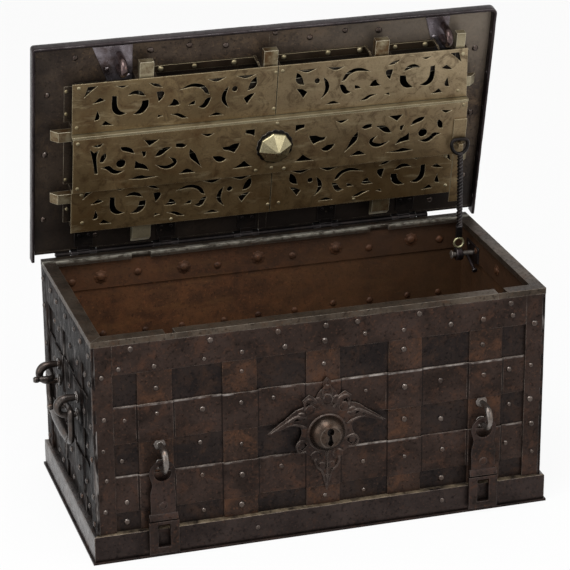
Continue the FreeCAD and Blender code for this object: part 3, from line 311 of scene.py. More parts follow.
def cover_tarnish_and_painted_light(n, colour):
    """The lower rows are browner, and the upper right is painted paler as light falling there."""
    x, v = n.along(X), n.along(LID_V, HINGE)
    cloud = n.span(n.noise(7, 4, 0.6, shift=(9, 2, 4)), 0.35, 0.65)
    low = n.times(n.span(v, 0.34, 0.05), n.span(cloud, 0.0, 1.0, 0.5, 1.0), 0.4)
    colour = n.mix(low, colour, (100, 74, 42))
    # Painted light: the upper right paler
    pale = n.times(n.span(x, -0.12, 0.34), n.span(v, 0.14, 0.32), n.span(cloud, 0.0, 1.0, 0.35, 0.95))
    colour = n.mix(pale, colour, (166, 149, 120))
    stains = n.span(n.noise(34, 6, 0.75, shift=(7, 1, 5), distort=1.2), 0.5, 0.64)
    colour = n.mix(n.times(stains, 0.7), colour, (66, 48, 28))
    rubbed = n.span(n.noise(60, 5, 0.7, stretch=(0.2, 1, 1), shift=(1, 9, 3)), 0.56, 0.68)
    return n.mix(n.times(rubbed, 0.5), colour, (150, 136, 106))


# Bands: painted highlights on their upper edges and painted shade beside the straps
forged("band_iron", (40, 31, 27), (58, 46, 41), (74, 52, 41), worn=(118, 108, 100), top_highlight=(112, 103, 96),
       dents=1.0, shade=painted_band_highlights_and_creases)
forged("hasp_iron", (38, 31, 28), (58, 46, 42), (76, 52, 40), worn=(84, 76, 72), dents=0.7)
forged("base_iron", (34, 28, 26), (50, 41, 38), (60, 45, 38), shade=floor_rust)
forged("strap_iron", (44, 34, 29), (64, 49, 42), (84, 58, 43), worn=(96, 82, 72), patch_at=(0.48, 0.64),
       dents=1.0)
forged("plate_iron", (31, 26, 25), (45, 37, 34), (58, 43, 35), patch_at=(0.5, 0.66), dents=1.0)
# Sides: painted reflection in whitish vertical lines
forged("side_iron", (22, 19, 18), (38, 32, 30), (54, 40, 33), rough=(0.24, 0.5), dents=1.0,
       grain=(1, 1, 0.3), worn=(104, 99, 96), reflection_streaks=(126, 121, 118), grazing=0.4)
forged("skirting_iron", (38, 31, 29), (54, 45, 42), (66, 48, 40), worn=(128, 118, 110),
       patch_at=(0.6, 0.75), top_highlight=(158, 142, 118))
# Skirting ends: a paler copy of the skirting iron, a painted reflection of the white floor and backdrop
forged("skirting_end_reflection_iron", (66, 61, 59), (102, 97, 95), (84, 66, 56), worn=(150, 146, 142),
       rough=(0.22, 0.45), dents=0.7, grain=(1, 1, 0.4))
forged("rim_iron", (56, 48, 41), (86, 76, 66), (78, 58, 44), worn=(118, 110, 100), rough=(0.4, 0.62),
       dents=0.8, shade=rim_wear)
# Inside walls: painted shade towards the bottom
forged("inside_iron", (66, 42, 27), (94, 62, 38), (112, 70, 42), metal=0.2, rough=(0.55, 0.75),
       patch_at=(0.44, 0.7), dents=0.7, shade=inside_scuffs_and_shade)
forged("lid_iron", (42, 36, 37), (60, 53, 54), (64, 50, 44), rough=(0.28, 0.48), worn=(120, 116, 116),
       patch_at=(0.6, 0.75))
# The lid's sheet carries painted shade and painted light
forged("lid_inner_iron", (56, 46, 39), (84, 71, 59), (98, 80, 62), metal=0.6, rough=(0.36, 0.6),
       worn=(140, 130, 114), shade=inside_case)
# Fittings under the covers carry painted shade
forged("fitting_iron", (50, 42, 36), (76, 65, 54), (88, 70, 52), metal=0.7, rough=(0.34, 0.55),
       worn=(150, 140, 122), shade=painted_shade_under_covers)
forged("hinge_iron", (26, 24, 24), (42, 38, 38), (50, 42, 38), rough=(0.3, 0.5), worn=(84, 80, 80))
forged("worn_iron", (54, 49, 47), (84, 78, 74), (84, 64, 52), rough=(0.24, 0.42), worn=(160, 155, 150),
       dents=0.35)
forged("rivet_iron", (62, 53, 48), (92, 82, 76), (76, 58, 48), rough=(0.2, 0.36), dents=0.5,
       top_highlight=(146, 138, 132))
forged("clenched_iron", (56, 36, 24), (80, 52, 33), (96, 60, 38), metal=0.3, rough=(0.45, 0.65))
forged("ring_iron", (66, 54, 52), (98, 84, 82), (90, 66, 56), rough=(0.14, 0.28), dents=0.25,
       worn=(150, 140, 136))
# Bolts: painted shade where the covers hide them
filed("bolt_steel", (108, 96, 72), (156, 146, 120), (84, 62, 38), brown_at=(0.46, 0.6),
      worn=(204, 196, 172), edge_r=0.0009, dents=0.6, shade=bolt_tips)
filed("bright_steel", (112, 106, 100), (152, 146, 140), (98, 84, 72), worn=(190, 184, 176))
forged("bare_iron", (84, 78, 74), (128, 122, 117), (96, 76, 62), worn=(176, 170, 164), rough=(0.22, 0.4),
       dents=0.4)
forged("leaf_iron", (40, 32, 29), (60, 49, 44), (74, 52, 41), worn=(98, 88, 82), dents=0.6,
       top_highlight=(138, 128, 120))
filed("rail_iron", (50, 40, 31), (74, 61, 47), (58, 42, 28), metal=0.7, edge_r=0.0009, worn=(160, 148, 120),
      dents=0.5)
# A paler copy of the cover steel; on the ledges its paleness is a painted highlight
filed("ledge_steel", (120, 109, 82), (160, 149, 120), (98, 80, 50), metal=0.7, worn=(200, 190, 164))
forged("bronze_iron", (46, 38, 33), (70, 60, 52), (66, 50, 40), worn=(108, 98, 90), rough=(0.2, 0.36),
       dents=0.4)
filed("plate_steel", (92, 84, 88), (150, 143, 148), (78, 66, 64), metal=0.85, rough=(0.22, 0.4),
      brown_at=(0.46, 0.6), dents=0.5, worn=(176, 170, 170))
# Cover plates: painted light on the upper right
filed("cover_steel", (86, 71, 47), (116, 98, 69), (80, 57, 31), metal=0.6, rough=(0.34, 0.5),
      worn=(186, 175, 145), dents=0.5, edge_r=0.0008, shade=cover_tarnish_and_painted_light)
filed("boss_steel", (132, 122, 92), (184, 175, 142), (104, 92, 60), metal=0.9, rough=(0.2, 0.32),
      dents=0.15)
# Painted shade: a near black for the inside of the blind keyhole
forged("keyhole_shade_black", (12, 9, 8), (20, 16, 14), (26, 18, 14), metal=0.3)
filed("link_brass", (150, 146, 110), (190, 186, 150), (120, 108, 72), metal=0.8)

node_looks = {
    "base_iron": "base_plate", "plate_iron": "front_plate back_plate",
    "side_iron": "side_plate_left side_plate_right", "rim_iron": "rim_frame", "inside_iron": "inner_strip",
    "hinge_iron": "hinge_leaves_body hinge_pins hinge_leaves_lid", "lid_inner_iron": "lid_sheet",
    "strap_iron": "lid_straps", "band_iron": "lid_bands keyhole_cover",
    "fitting_iron": "lock_cam bolt_guides lock_case",
    "bolt_steel": "bolts_front bolts_rear bolts_left bolts_right", "rail_iron": "leaf_springs",
    "cover_steel": "stay_lug", "worn_iron": "keyhole_rivet"}
for look, nodes in node_looks.items():
    for node in nodes.split():
        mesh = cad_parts[node].data
        mesh.materials.clear()
        mesh.materials.append(looks[look])

# The walls are rust brown inside the chest, and the lid's sheet is black outside
other_sides = {
    "front_plate": (Y, "inside_iron"), "back_plate": (-Y, "inside_iron"),
    "side_plate_left": (X, "inside_iron"), "side_plate_right": (-X, "inside_iron"),
    "lid_sheet": (-LID_N, "plate_iron")}
for node, (side, look) in other_sides.items():
    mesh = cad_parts[node].data
    mesh.materials.append(looks[look])
    for face in mesh.polygons:
        face.material_index = 1 if face.normal.dot(side) > 0.9 else 0

# Mesh helpers

# Each piece is shaped in this one mesh, which keep stores and empties
work = bmesh.new()
rng = random.Random(7)


def keep(name, body, look, replaces=(), sharp=38):
    """Stores the working mesh as a piece, with edges sharper than an angle left unsmoothed."""
    bmesh.ops.recalc_face_normals(work, faces=work.faces)
    mesh = bpy.data.meshes.new(name)
    work.to_mesh(mesh)
    work.clear()
    mesh.materials.append(looks[look])
    for face in mesh.polygons:
        face.use_smooth = True
    mesh.set_sharp_from_angle(angle=math.radians(sharp))
    obj = bpy.data.objects.new(name, mesh)
    bpy.context.scene.collection.objects.link(obj)
    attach(obj, body)
    if replaces:
        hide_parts(*replaces)


def circle(count):
    """Angles of points spread round a circle."""
    return [2 * math.pi * k / count for k in range(count)]


def skin(rings, closed=False):
    """Joins rings of points, each a closed loop, into a tube."""
    loops = [[work.verts.new(p) for p in ring] for ring in rings]
    count = len(loops[0])
    last = len(loops) if closed else len(loops) - 1
    for k in range(last):
        a, b = loops[k], loops[(k + 1) % len(loops)]
        for j in range(count):
            i = (j + 1) % count
            work.faces.new((a[j], a[i], b[i], b[j]))
    if not closed:
        work.faces.new(loops[0])
        work.faces.new(loops[-1][::-1])


def smooth_path(points, per=6, closed=False):
    """Catmull-Rom points through the given ones."""
    before, after = (points[-1:], points[:2]) if closed else (points[:1], points[-1:])
    line = before + points + after
    out = []
    for a, b, c, d in zip(line, line[1:], line[2:], line[3:]):
        for s in range(per):
            t = s / per
            out.append(0.5 * (2 * b + (c - a) * t + (2 * a - 5 * b + 4 * c - d) * t * t
                              + (3 * b - a - 3 * c + d) * t ** 3))
    if not closed:
        out.append(points[-1].copy())
    return out


def tube(points, radius, sides=12, per=6, closed=False, turns=0.0, square=0.0, seed=0.0, rough=0.05):
    """Round or square bar along a smooth path. radius is a number or a function of 0..1."""
    path = smooth_path(points, per, closed)
    count = len(path)
    rings = []
    side = None
    for k, p in enumerate(path):
        ahead = path[(k + 1) % count] if closed or k < count - 1 else p
        behind = path[k - 1] if closed or k > 0 else p
        run = (ahead - behind).normalized()
        if side is None:
            helper = Z if abs(run.z) < 0.8 else Y
            side = run.cross(helper).normalized()
        side = (side - run * side.dot(run)).normalized()
        up = run.cross(side)
        t = k / (count - 1 if not closed else count)
        r = radius(t) if callable(radius) else radius
        ring = []
        for a in circle(sides):
            grow = 1.0
            if square:
                grow = 1.0 + square * (1.0 / max(abs(math.cos(a)), abs(math.sin(a))) - 1.0)
            dent = wave(p.x * 90 + seed, p.y * 90 + math.cos(a), p.z * 90 + math.sin(a)) - 0.3
            grow *= 1.0 + rough * dent
            b = a + turns * 2 * math.pi * t
            ring.append(p + (side * math.cos(b) + up * math.sin(b)) * r * grow * MM)
        rings.append(ring)
    skin(rings, closed)


def lathe(origin, axis, profile, sides=32, lobes=0, lobe=0.0, dent=0.0):
    """Turns a profile of (along, radius) points, in mm, about an axis, with an edge in lobes if asked."""
    axis = axis.normalized()
    a = axis.orthogonal().normalized()
    b = axis.cross(a)
    rings = []
    for s, r in profile:
        ring = []
        for t in circle(sides):
            k = r
            if lobes:
                k -= lobe * (1 - abs(math.cos(lobes * t / 2))) * min(1.0, r / profile[0][1])
            if dent:
                k += dent * wave(math.cos(t) * 2, math.sin(t) * 2, s / 9)
            ring.append(origin + (axis * s + a * math.cos(t) * k + b * math.sin(t) * k) * MM)
        rings.append(ring)
    skin(rings)


def dome(centre, normal, radius, height, sides=12, wobble=0.12):
    """Hammered rivet head, whose foot is half a millimetre under the surface."""
    normal = normal.normalized()
    a = normal.orthogonal().normalized()
    b = normal.cross(a)
    spin = rng.uniform(0, 6.28)
    lean = (a * rng.uniform(-1, 1) + b * rng.uniform(-1, 1)) * 0.1 * radius
    rings = []
    for r, h in ((1.0, -0.5 / height), (1.0, 0.12), (0.86, 0.55), (0.58, 0.88), (0.22, 1.0)):
        ring = []
        for t in circle(sides):
            t += spin
            k = r * radius * (1 + wobble * wave(math.cos(t) * 1.5 + spin * 9, math.sin(t) * 1.5, r))
            ring.append(centre + (a * math.cos(t) * k + b * math.sin(t) * k + lean * max(h, 0)
                                  + normal * h * height) * MM)
        rings.append(ring)
    skin(rings)


def bar_section(width, thick, soft=1.0, cuts=8):
    """Closed outline (across, out) of a flat bar with rounded outer edges."""
    outline = [(0.0, 0.0), (0.0, thick - soft), (soft * 0.3, thick - soft * 0.3), (soft, thick)]
    for k in range(1, cuts):
        outline.append((soft + (width - 2 * soft) * k / cuts, thick))
    outline += [(width - soft, thick), (width - soft * 0.3, thick - soft * 0.3), (width, thick - soft),
                (width, 0.0)]
    return outline


def forge(section, start, run, across, out, length, step=5.0, rise=None, wobble=0.6, dent=0.3, seed=0.0):
    """Sweeps a closed section along a straight run, with hammered faces and uneven edges."""
    count = max(2, int(length / step))
    low = min(a for a, b in section)
    high = max(a for a, b in section)
    rings = []
    for k in range(count + 1):
        u = length * k / count
        lift = rise(u) if rise else 0.0
        left, right = (wobble * wave(u / 55, seed, s) + 0.3 * wobble * wave(u / 14, seed, s + 1)
                       for s in (0.3, 5.3))
        ring = []
        for a, b in section:
            share = (a - low) / (high - low)
            sideways = a + left * (1 - share) + right * share
            raised = b + lift
            if b > 0.01:
                raised += dent * (wave(u / 21, a / 21, seed) - 0.4)
                raised += 0.4 * dent * wave(u / 7, a / 7, seed + 4)
            ring.append(start + (run * u + across * sideways + out * raised) * MM)
        rings.append(ring)
    skin(rings)


STRAP_W, STRAP_T = 60.0, 3.0


def weave(straps, ramp=5.0):
    """Rise of a band over the straps under it, as a function of the run."""
    def rise(u):
        best = 0.0
        for middle in straps:
            t = (STRAP_W / 2 + ramp - abs(u - middle)) / ramp
            t = max(0.0, min(1.0, t))
            best = max(best, t * t * (3 - 2 * t))
        return best * STRAP_T
    return rise


def outlines(node, axes, level):
    """Outlines, in mm, of a node's flat faces at one height above a plane: the edge and each piercing."""
    origin, a, b, out = axes
    source = bmesh.new()
    source.from_mesh(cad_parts[node].data)
    bmesh.ops.remove_doubles(source, verts=source.verts, dist=1e-5)
    flat = {face for face in source.faces if abs(face.normal.dot(out)) > 0.99
            and abs((face.calc_center_median() - origin).dot(out) / MM - level) < 0.2}
    ahead = {}
    for edge in source.edges:
        if sum(face in flat for face in edge.link_faces) == 1:
            for one, other in (edge.verts, tuple(edge.verts)[::-1]):
                ahead.setdefault(one.index, []).append(other.index)
    source.verts.ensure_lookup_table()
    spots = {}
    for k in ahead:
        spot = source.verts[k].co - origin
        spots[k] = Vector((spot.dot(a), spot.dot(b))) / MM
    source.free()
    loops, seen = [], set()
    for first in sorted(ahead):
        loop, here = [], first
        while here is not None and here not in seen:
            seen.add(here)
            loop.append(spots[here])
            here = next((k for k in ahead[here] if k not in seen), None)
        if len(loop) > 2:
            loops.append(loop)
    return loops


def area(loop):
    """Area inside an outline, positive where it turns left."""
    return 0.5 * sum(p.x * q.y - q.x * p.y for p, q in zip(loop, loop[1:] + loop[:1]))


def soften(loop, keep_above=72, rounds=2):
    """Cuts the blunt corners of an outline and keeps the pointed ones."""
    for _ in range(rounds):
        out = []
        for k, p in enumerate(loop):
            before, after = loop[k - 1], loop[(k + 1) % len(loop)]
            turn = abs((p - before).angle(after - p, 0.0))
            if turn > math.radians(keep_above) or turn < 0.02:
                out.append(p)
            else:
                out += [p.lerp(before, 0.25), p.lerp(after, 0.25)]
        loop = out
    return loop


def plate(loops, axes, low, high, bevel, open_up=0.0):
    """Adds a flat plate with holes and softened edges. The largest outline is its edge."""
    origin, a, b, out = axes
    curve = bpy.data.curves.new("outline", "CURVE")
    curve.dimensions = "2D"
    curve.fill_mode = "BOTH"
    curve.extrude = ((high - low) / 2 - bevel) * MM
    curve.bevel_depth = bevel * MM
    curve.bevel_resolution = 1
    curve.offset = -(bevel + open_up) * MM
    largest = max(loops, key=lambda loop: abs(area(loop)))
    for loop in loops:
        turned = (area(loop) > 0) == (loop is largest)
        spline = curve.splines.new("POLY")
        spline.points.add(len(loop) - 1)
        for point, p in zip(spline.points, loop if turned else loop[::-1]):
            point.co = (p[0] * MM, p[1] * MM, 0, 1)
        spline.use_cyclic_u = True
    obj = bpy.data.objects.new("outline", curve)
    mesh = bpy.data.meshes.new_from_object(obj)
    turn = Matrix((a, b, out)).transposed().to_4x4()
    mesh.transform(Matrix.Translation(origin + out * (low + high) / 2 * MM) @ turn)
    work.from_mesh(mesh)
    bpy.data.objects.remove(obj)
    bpy.data.curves.remove(curve)
    bpy.data.meshes.remove(mesh)
    bmesh.ops.remove_doubles(work, verts=work.verts, dist=1e-6)


def points2(*pairs):
    return [Vector(p) for p in pairs]


def round_loop(cx, cz, radius, count):
    return [Vector((cx + radius * math.cos(t), cz + radius * math.sin(t))) for t in circle(count)]


# Walls: straps, bands, corners, foot

HALF_W, HALF_D = 400.0, 198.0
WALL_X, WALL_Y = 394.0, 192.0
FOOT_Z, RIM_Z = 50.0, 393.0
STRAPS = [-293.0, -146.5, 0.0, 146.5, 293.0]
SIDE_STRAPS = [-74.0, 74.0]
BANDS = (85.0, 212.0)
BAND_W = 69.0
# Half the length of the bands on the long and the short walls
LONG, SHORT = 365.0, 163.0
RINGS = (-264.03, 321.1)
top_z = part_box("top_bands")[0].z / MM


def uprights(out, along, face, straps, seed, dent=0.3):
    """Straps up one wall."""
    for k, middle in enumerate(straps):
        start = out * face + along * (middle - STRAP_W / 2) + Z * FOOT_Z
        forge(bar_section(STRAP_W, STRAP_T), start * MM, Z, along, out, top_z - FOOT_Z, dent=dent,
              seed=k + seed)


def bands(out, along, face, straps, reach, seed, ramp, step, dent):
    """Bands along one wall, hammered over its straps."""
    for k, z in enumerate(BANDS):
        start = out * face - along * reach + Z * z
        forge(bar_section(BAND_W, STRAP_T, 1.2), start * MM, along, Z, out, 2 * reach, step=step,
              rise=weave([middle + reach for middle in straps], ramp), wobble=1.1, dent=dent, seed=k + seed)


for sign, label in ((-1, "front"), (1, "back")):
    uprights(Y * sign, X, WALL_Y, STRAPS, 3 * sign)
    keep(label + "_uprights", "chest", "strap_iron", [label + "_straps"])
    bands(Y * sign, X, WALL_Y, STRAPS, LONG, 11 + sign, 3.5, 3.5, 0.5)
    keep(label + "_weave", "chest", "band_iron", [label + "_bands"])
for sx in (-1, 1):
    uprights(X * sx, Y, WALL_X, SIDE_STRAPS, 7 * sx, 0.6)
keep("side_uprights", "chest", "side_iron", ["side_straps"])
for sx in (-1, 1):
    bands(X * sx, Y, WALL_X, SIDE_STRAPS, SHORT, 21 + sx, 5.0, 5.0, 0.6)
keep("side_weave", "chest", "side_iron", ["side_bands"])

for sy in (-1, 1):
    forge(bar_section(RIM_Z - top_z, 6.0, 1.0), at(-LONG, sy * WALL_Y, top_z), X, Z, Y * sy, 2 * LONG,
          wobble=0.0, dent=0.35, seed=31 + sy)
# The lid's rings drop in behind the front band, which is hollowed for them
for vert in work.verts:
    x, y = vert.co.x / MM, vert.co.y / MM
    if -193 < y < 0 and min(abs(x - ring) for ring in RINGS) < 14:
        vert.co.y = -196.7 * MM
keep("top_band_long", "chest", "band_iron", ["top_bands"])
for sx in (-1, 1):
    forge(bar_section(RIM_Z - top_z, 6.0, 1.0), at(sx * WALL_X, -SHORT, top_z), Y, Z, X * sx, 2 * SHORT,
          wobble=0.0, dent=0.35, seed=41 + sx)
keep("top_band_end", "chest", "side_iron", ["top_bands"])

# Corner angles: L sections with a soft outer corner
CORNERS = [(sx, sy) for sx in (-1, 1) for sy in (-1, 1)]
for sx, sy in CORNERS:
    forge(bar_section(35, 6.0, 1.4, 5), at(sx * HALF_W, sy * WALL_Y, FOOT_Z), Z, X * -sx, Y * sy,
          RIM_Z - FOOT_Z, wobble=0.3, seed=51 + sx + 3 * sy)
keep("corner_faces", "chest", "band_iron", ["corner_angles"])
for sx, sy in CORNERS:
    forge(bar_section(35, 6.0, 1.4, 5), at(sx * WALL_X, sy * HALF_D, FOOT_Z), Z, Y * -sy, X * sx,
          RIM_Z - FOOT_Z, wobble=0.3, seed=57 + sx + 3 * sy)
keep("corner_ends", "chest", "side_iron", ["corner_angles"])

# Skirting: four heavy bars, mitred where they meet
foot_low, foot_high = (corner.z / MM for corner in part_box("base_skirting"))
foot_x, foot_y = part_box("base_skirting")[1].x / MM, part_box("base_skirting")[1].y / MM
FOOT_T = 12.0
# The end bars take the paler copy, painted as reflecting the white surroundings
for label, look, ends in (("foot_long", "skirting_iron", False), ("foot_end", "skirting_end_reflection_iron", True)):
    for side in (-1, 1):
        run, outward = (Y, X * side) if ends else (X, Y * side)
        reach, face = (foot_y, foot_x - FOOT_T) if ends else (foot_x, foot_y - FOOT_T)
        start = outward * face + Z * foot_low - run * reach
        forge(bar_section(foot_high - foot_low, FOOT_T, 1.6, 6), start * MM, run, Z, outward, 2 * reach,
              step=7, wobble=0.35, dent=0.4, seed=71 + side + 5 * ends)
        for vert in work.verts:
            across = vert.co.dot(outward) / MM - face
            u = vert.co.dot(run) / MM
            limit = reach - FOOT_T + max(0.0, across)
            if across > -1 and abs(u) > limit:
                vert.co += run * (math.copysign(limit, u) - u) * MM
    keep(label, "chest", look, ["base_skirting"])

# Rivets on the body


def relief(u, z, reach, straps):
    """How far a wall's surface stands out of its sheet, at a distance from the wall's middle."""
    if z > top_z or abs(u) > reach:
        return 6.0
    strap = any(abs(u - s) < STRAP_W / 2 for s in straps)
    band = any(low < z < low + BAND_W for low in BANDS)
    return STRAP_T * (strap + band)


front_rivets = [
    (-354, 350), (-294, 348), (-208, 350), (-143, 354), (-68, 354), (2, 356), (73, 360), (142, 358),
    (227, 357), (286, 359), (340, 360), (1, 313), (144, 321), (287, 311), (76, 253), (145, 252), (211, 254),
    (289, 255), (337, 258), (-291, 307), (-143, 318), (-346, 255), (-291, 262), (-212, 258), (-145, 262),
    (-88, 262), (-346, 104), (-285, 104), (-214, 136), (-145, 128), (-75, 133), (3, 118), (72, 120),
    (146, 120), (217, 122), (334, 118), (-352, 180), (-216, 196), (-145, 184), (214, 180), (146, 190),
    (340, 190), (-212, 68), (-146, 70), (3, 66), (74, 64), (217, 66), (380, 340), (376, 262), (376, 198),
    (383, 96), (380, 150), (-383, 338), (-381, 262), (-384, 205), (-380, 150), (-384, 92), (-346, 66)]
for x, z in front_rivets:
    r = rng.uniform(3.7, 6.0)
    dome(at(x, -WALL_Y - relief(x, z, LONG, STRAPS), z), -Y, r, r * 0.62)
for x in (-333, -197, -80, 4, 60, 170, 336):
    dome(at(x, -HALF_D, 384 + rng.uniform(-2, 2)), -Y, 5.2, 2.6)
for x in [-380, -350, -293, -220, -146, -73, 0, 73, 146, 220, 293, 350, 380]:
    for level in (372, 318 if abs(x) < LONG else 300, 246, 184, 119, 68):
        z = level + rng.uniform(-4, 4)
        dome(at(x, WALL_Y + relief(x, z, LONG, STRAPS), z), Y, 5.3, 2.7)
for sy in (-1, 1):
    for x in (-120, 215):
        dome(at(x, sy * (foot_y - 0.3), 27 + rng.uniform(-3, 3)), Y * sy, 4.2, 1.6)
keep("body_rivets_long", "chest", "rivet_iron")

for sx in (-1, 1):
    for y in (-181, -120, -74, 0, 74, 120, 181):
        for z in (375, 318, 246, 184, 119, 68):
            if abs(y) == 74 and z in (246, 184):
                continue
            out = WALL_X + relief(y, z, SHORT, SIDE_STRAPS)
            dome(at(sx * out, y + rng.uniform(-3, 3), z + rng.uniform(-4, 4)), X * sx, 5.4, 2.8)
keep("body_rivets_end", "chest", "worn_iron")

# Inside: big clenched heads on lobed washers along the strip, small ones below


def washer(centre, normal, radius):
    lathe(centre, normal, [(-0.4, radius), (0.9, radius), (1.5, radius * 0.9), (1.7, radius * 0.4)], 32,
          lobes=8, lobe=radius * 0.16, dent=0.3)
    dome(centre + normal * 1.4 * MM, normal, radius * 0.62, radius * 0.3, 14)


STRIP_X, STRIP_Y = 387.0, 185.0
INNER_X, INNER_Y = 390.0, 188.0
SMALL_HEAD = (6.2, 3.0, 14)
for x, z in ((-294.9, 362), (-142.2, 363), (-3.7, 365), (144.2, 366), (289.2, 366)):
    washer(at(x, STRIP_Y, z), -Y, 13.0)
for x, z in ((-347.8, 357), (-227, 364), (-79.8, 359), (61.6, 361), (208.1, 359), (345, 360)):
    dome(at(x, STRIP_Y, z), -Y, 7.0, 3.4, 14)
for x, z in ((-294.2, 251), (-216, 249), (-148.1, 249), (-68.5, 249), (-4, 252), (66, 252), (139.9, 257),
             (211, 254), (284.2, 255), (345, 254), (-345, 251)):
    dome(at(x, INNER_Y, z), -Y, *SMALL_HEAD)
for sx in (-1, 1):
    for y in (-110, 0, 100):
        washer(at(sx * STRIP_X, y, 363), X * -sx, 11.0)
        dome(at(sx * INNER_X, y + 40, 252), X * -sx, *SMALL_HEAD)
        dome(at(sx * INNER_X, y - 10, 120), X * -sx, *SMALL_HEAD)
for x in (-300, -150, 0, 150, 300):
    dome(at(x, -INNER_Y, 252), Y, *SMALL_HEAD)
    dome(at(x, -INNER_Y, 118), Y, *SMALL_HEAD)
    dome(at(x + 40, INNER_Y, 118), -Y, *SMALL_HEAD)
keep("inner_heads", "chest", "clenched_iron")

# False lock: cut leaf plate, raised ribs, dome with a blind keyhole

LEAF_X, LEAF_Y, LEAF_Z = 5.0, -201.0, 186.98
leaf_loops = outlines("false_lock_plate", ON_FRONT, -LEAF_Y)
leaf_loops = [soften(loop, 62) for loop in leaf_loops if abs(area(loop)) > 20]
plate(leaf_loops, ON_FRONT, HALF_D, -LEAF_Y, 1.0)


def leaf_rib(points, radius):
    """A rib hammered up on each side of the leaf, through points (aside, up, lift)."""
    for side in (-1, 1):
        line = [at(LEAF_X + side * a, LEAF_Y - lift, LEAF_Z + b) for a, b, lift in points]
        tube(line, lambda t: radius * (0.35 + 0.65 * math.sin(math.pi * min(1.0, t * 1.15 + 0.06))),
             sides=8, per=6, seed=side)


leaf_rib([(36, 32, 0.4), (54, 36, 1.4), (70, 29, 1.8), (84, 21, 1.2), (100, 11, 0.2)], 2.8)
leaf_rib([(12, 45, 0.4), (20, 60, 1.4), (33, 66, 1.8), (41, 58, 1.2), (38, 47, 0.2)], 3.0)
leaf_rib([(36, 12, 0.2), (46, 18, 1.2), (60, 22, 1.0), (72, 20, 0.2)], 2.2)
leaf_rib([(34, -14, 0.2), (48, -10, 1.2), (55, -20, 1.6), (49, -31, 1.2), (38, -31, 0.2)], 2.6)
leaf_rib([(14, -38, 0.2), (22, -50, 1.2), (17, -64, 1.4), (8, -74, 0.8), (3, -92, 0.2)], 2.4)
leaf_rib([(5, 60, 0.2), (9, 76, 1.2), (4, 88, 1.4), (0.5, 98, 0.6)], 2.2)
for a, b, r, h in ((0, 84, 6, 2.6), (0, 62, 10, 3.4), (17, 58, 10, 3.6), (31, 46, 9, 3.2), (45, 35, 8, 2.8),
                   (62, 27, 6.5, 2.4), (46, -18, 7, 2.8), (20, -42, 9, 3.0), (9, -62, 7, 2.4),
                   (0, -82, 4, 1.8)):
    for side in ((1,) if a == 0 else (-1, 1)):
        dome(at(LEAF_X + side * a, LEAF_Y + 0.1, LEAF_Z + b), -Y, r, h, 16, wobble=0.2)
stem = [at(LEAF_X, LEAF_Y - lift, LEAF_Z - down) for lift, down in ((0.4, 36), (1.4, 60), (0.2, 100))]
tube(stem, lambda t: 2.4 - 1.4 * t, 8, 6)
lathe(at(LEAF_X, LEAF_Y, LEAF_Z), -Y, [(-0.4, 34.5), (1.0, 34.5), (1.9, 33.4), (1.9, 30)], 48)
keep("lock_leaf", "chest", "leaf_iron", ["false_lock_plate"], sharp=24)

lathe(at(LEAF_X, LEAF_Y, LEAF_Z), -Y,
      [(-0.4, 31.8), (1.5, 31.6), (5, 31.0), (9, 29.6), (13, 27.4), (17, 24.2), (20, 20.6), (21.4, 18.6),
       (21.2, 17.8), (9.0, 17.4)], 48, dent=0.5)
half_key = [(3.4, -15), (5.6, -12), (3.0, -5), (2.2, 2), (5.6, 5), (6.4, 9), (5.2, 13.4), (2.4, 16.2)]
key = [(0, -18)] + half_key + [(0, 17)] + [(-a, b) for a, b in reversed(half_key)]
key = [Vector(p) * 0.98 + Vector((LEAF_X, LEAF_Z)) for p in key]
plate([round_loop(LEAF_X, LEAF_Z, 18.3, 40), key], ON_FRONT, 212.0, 222.8, 0.7)
keep("lock_dome", "chest", "bronze_iron", ["false_lock_plate"])
# A black disc behind the keyhole: painted shade in the hole
lathe(at(LEAF_X, LEAF_Y - 9, LEAF_Z), -Y, [(0, 17.0), (1.6, 17.0), (1.8, 15)], 24)
keep("lock_dome_core", "chest", "keyhole_shade_black")

# Padlock staples and hasps

STAPLE_X, STAPLE_Z = 287.0, 184.98
HASP_EYE_Z = 156.88
for side in (-1, 1):
    loop = [(-195, 19), (-218, 19), (-230.4, 15), (-237.6, 0), (-230.4, -15), (-218, -19), (-195, -19)]
    tube([at(side * STAPLE_X, y, STAPLE_Z + z) for y, z in loop],
         lambda t: 4.8 + 1.6 * math.sin(math.pi * min(1.0, t / 0.62)) ** 2, 16, 7, seed=side * 3, rough=0.07)
    for z in (-19, 19):
        lathe(at(side * STAPLE_X, -195, STAPLE_Z + z), -Y, [(-0.5, 10), (1.2, 10), (2.2, 8)], 14, dent=0.7)
keep("front_loops", "chest", "bare_iron", ["front_staples"])

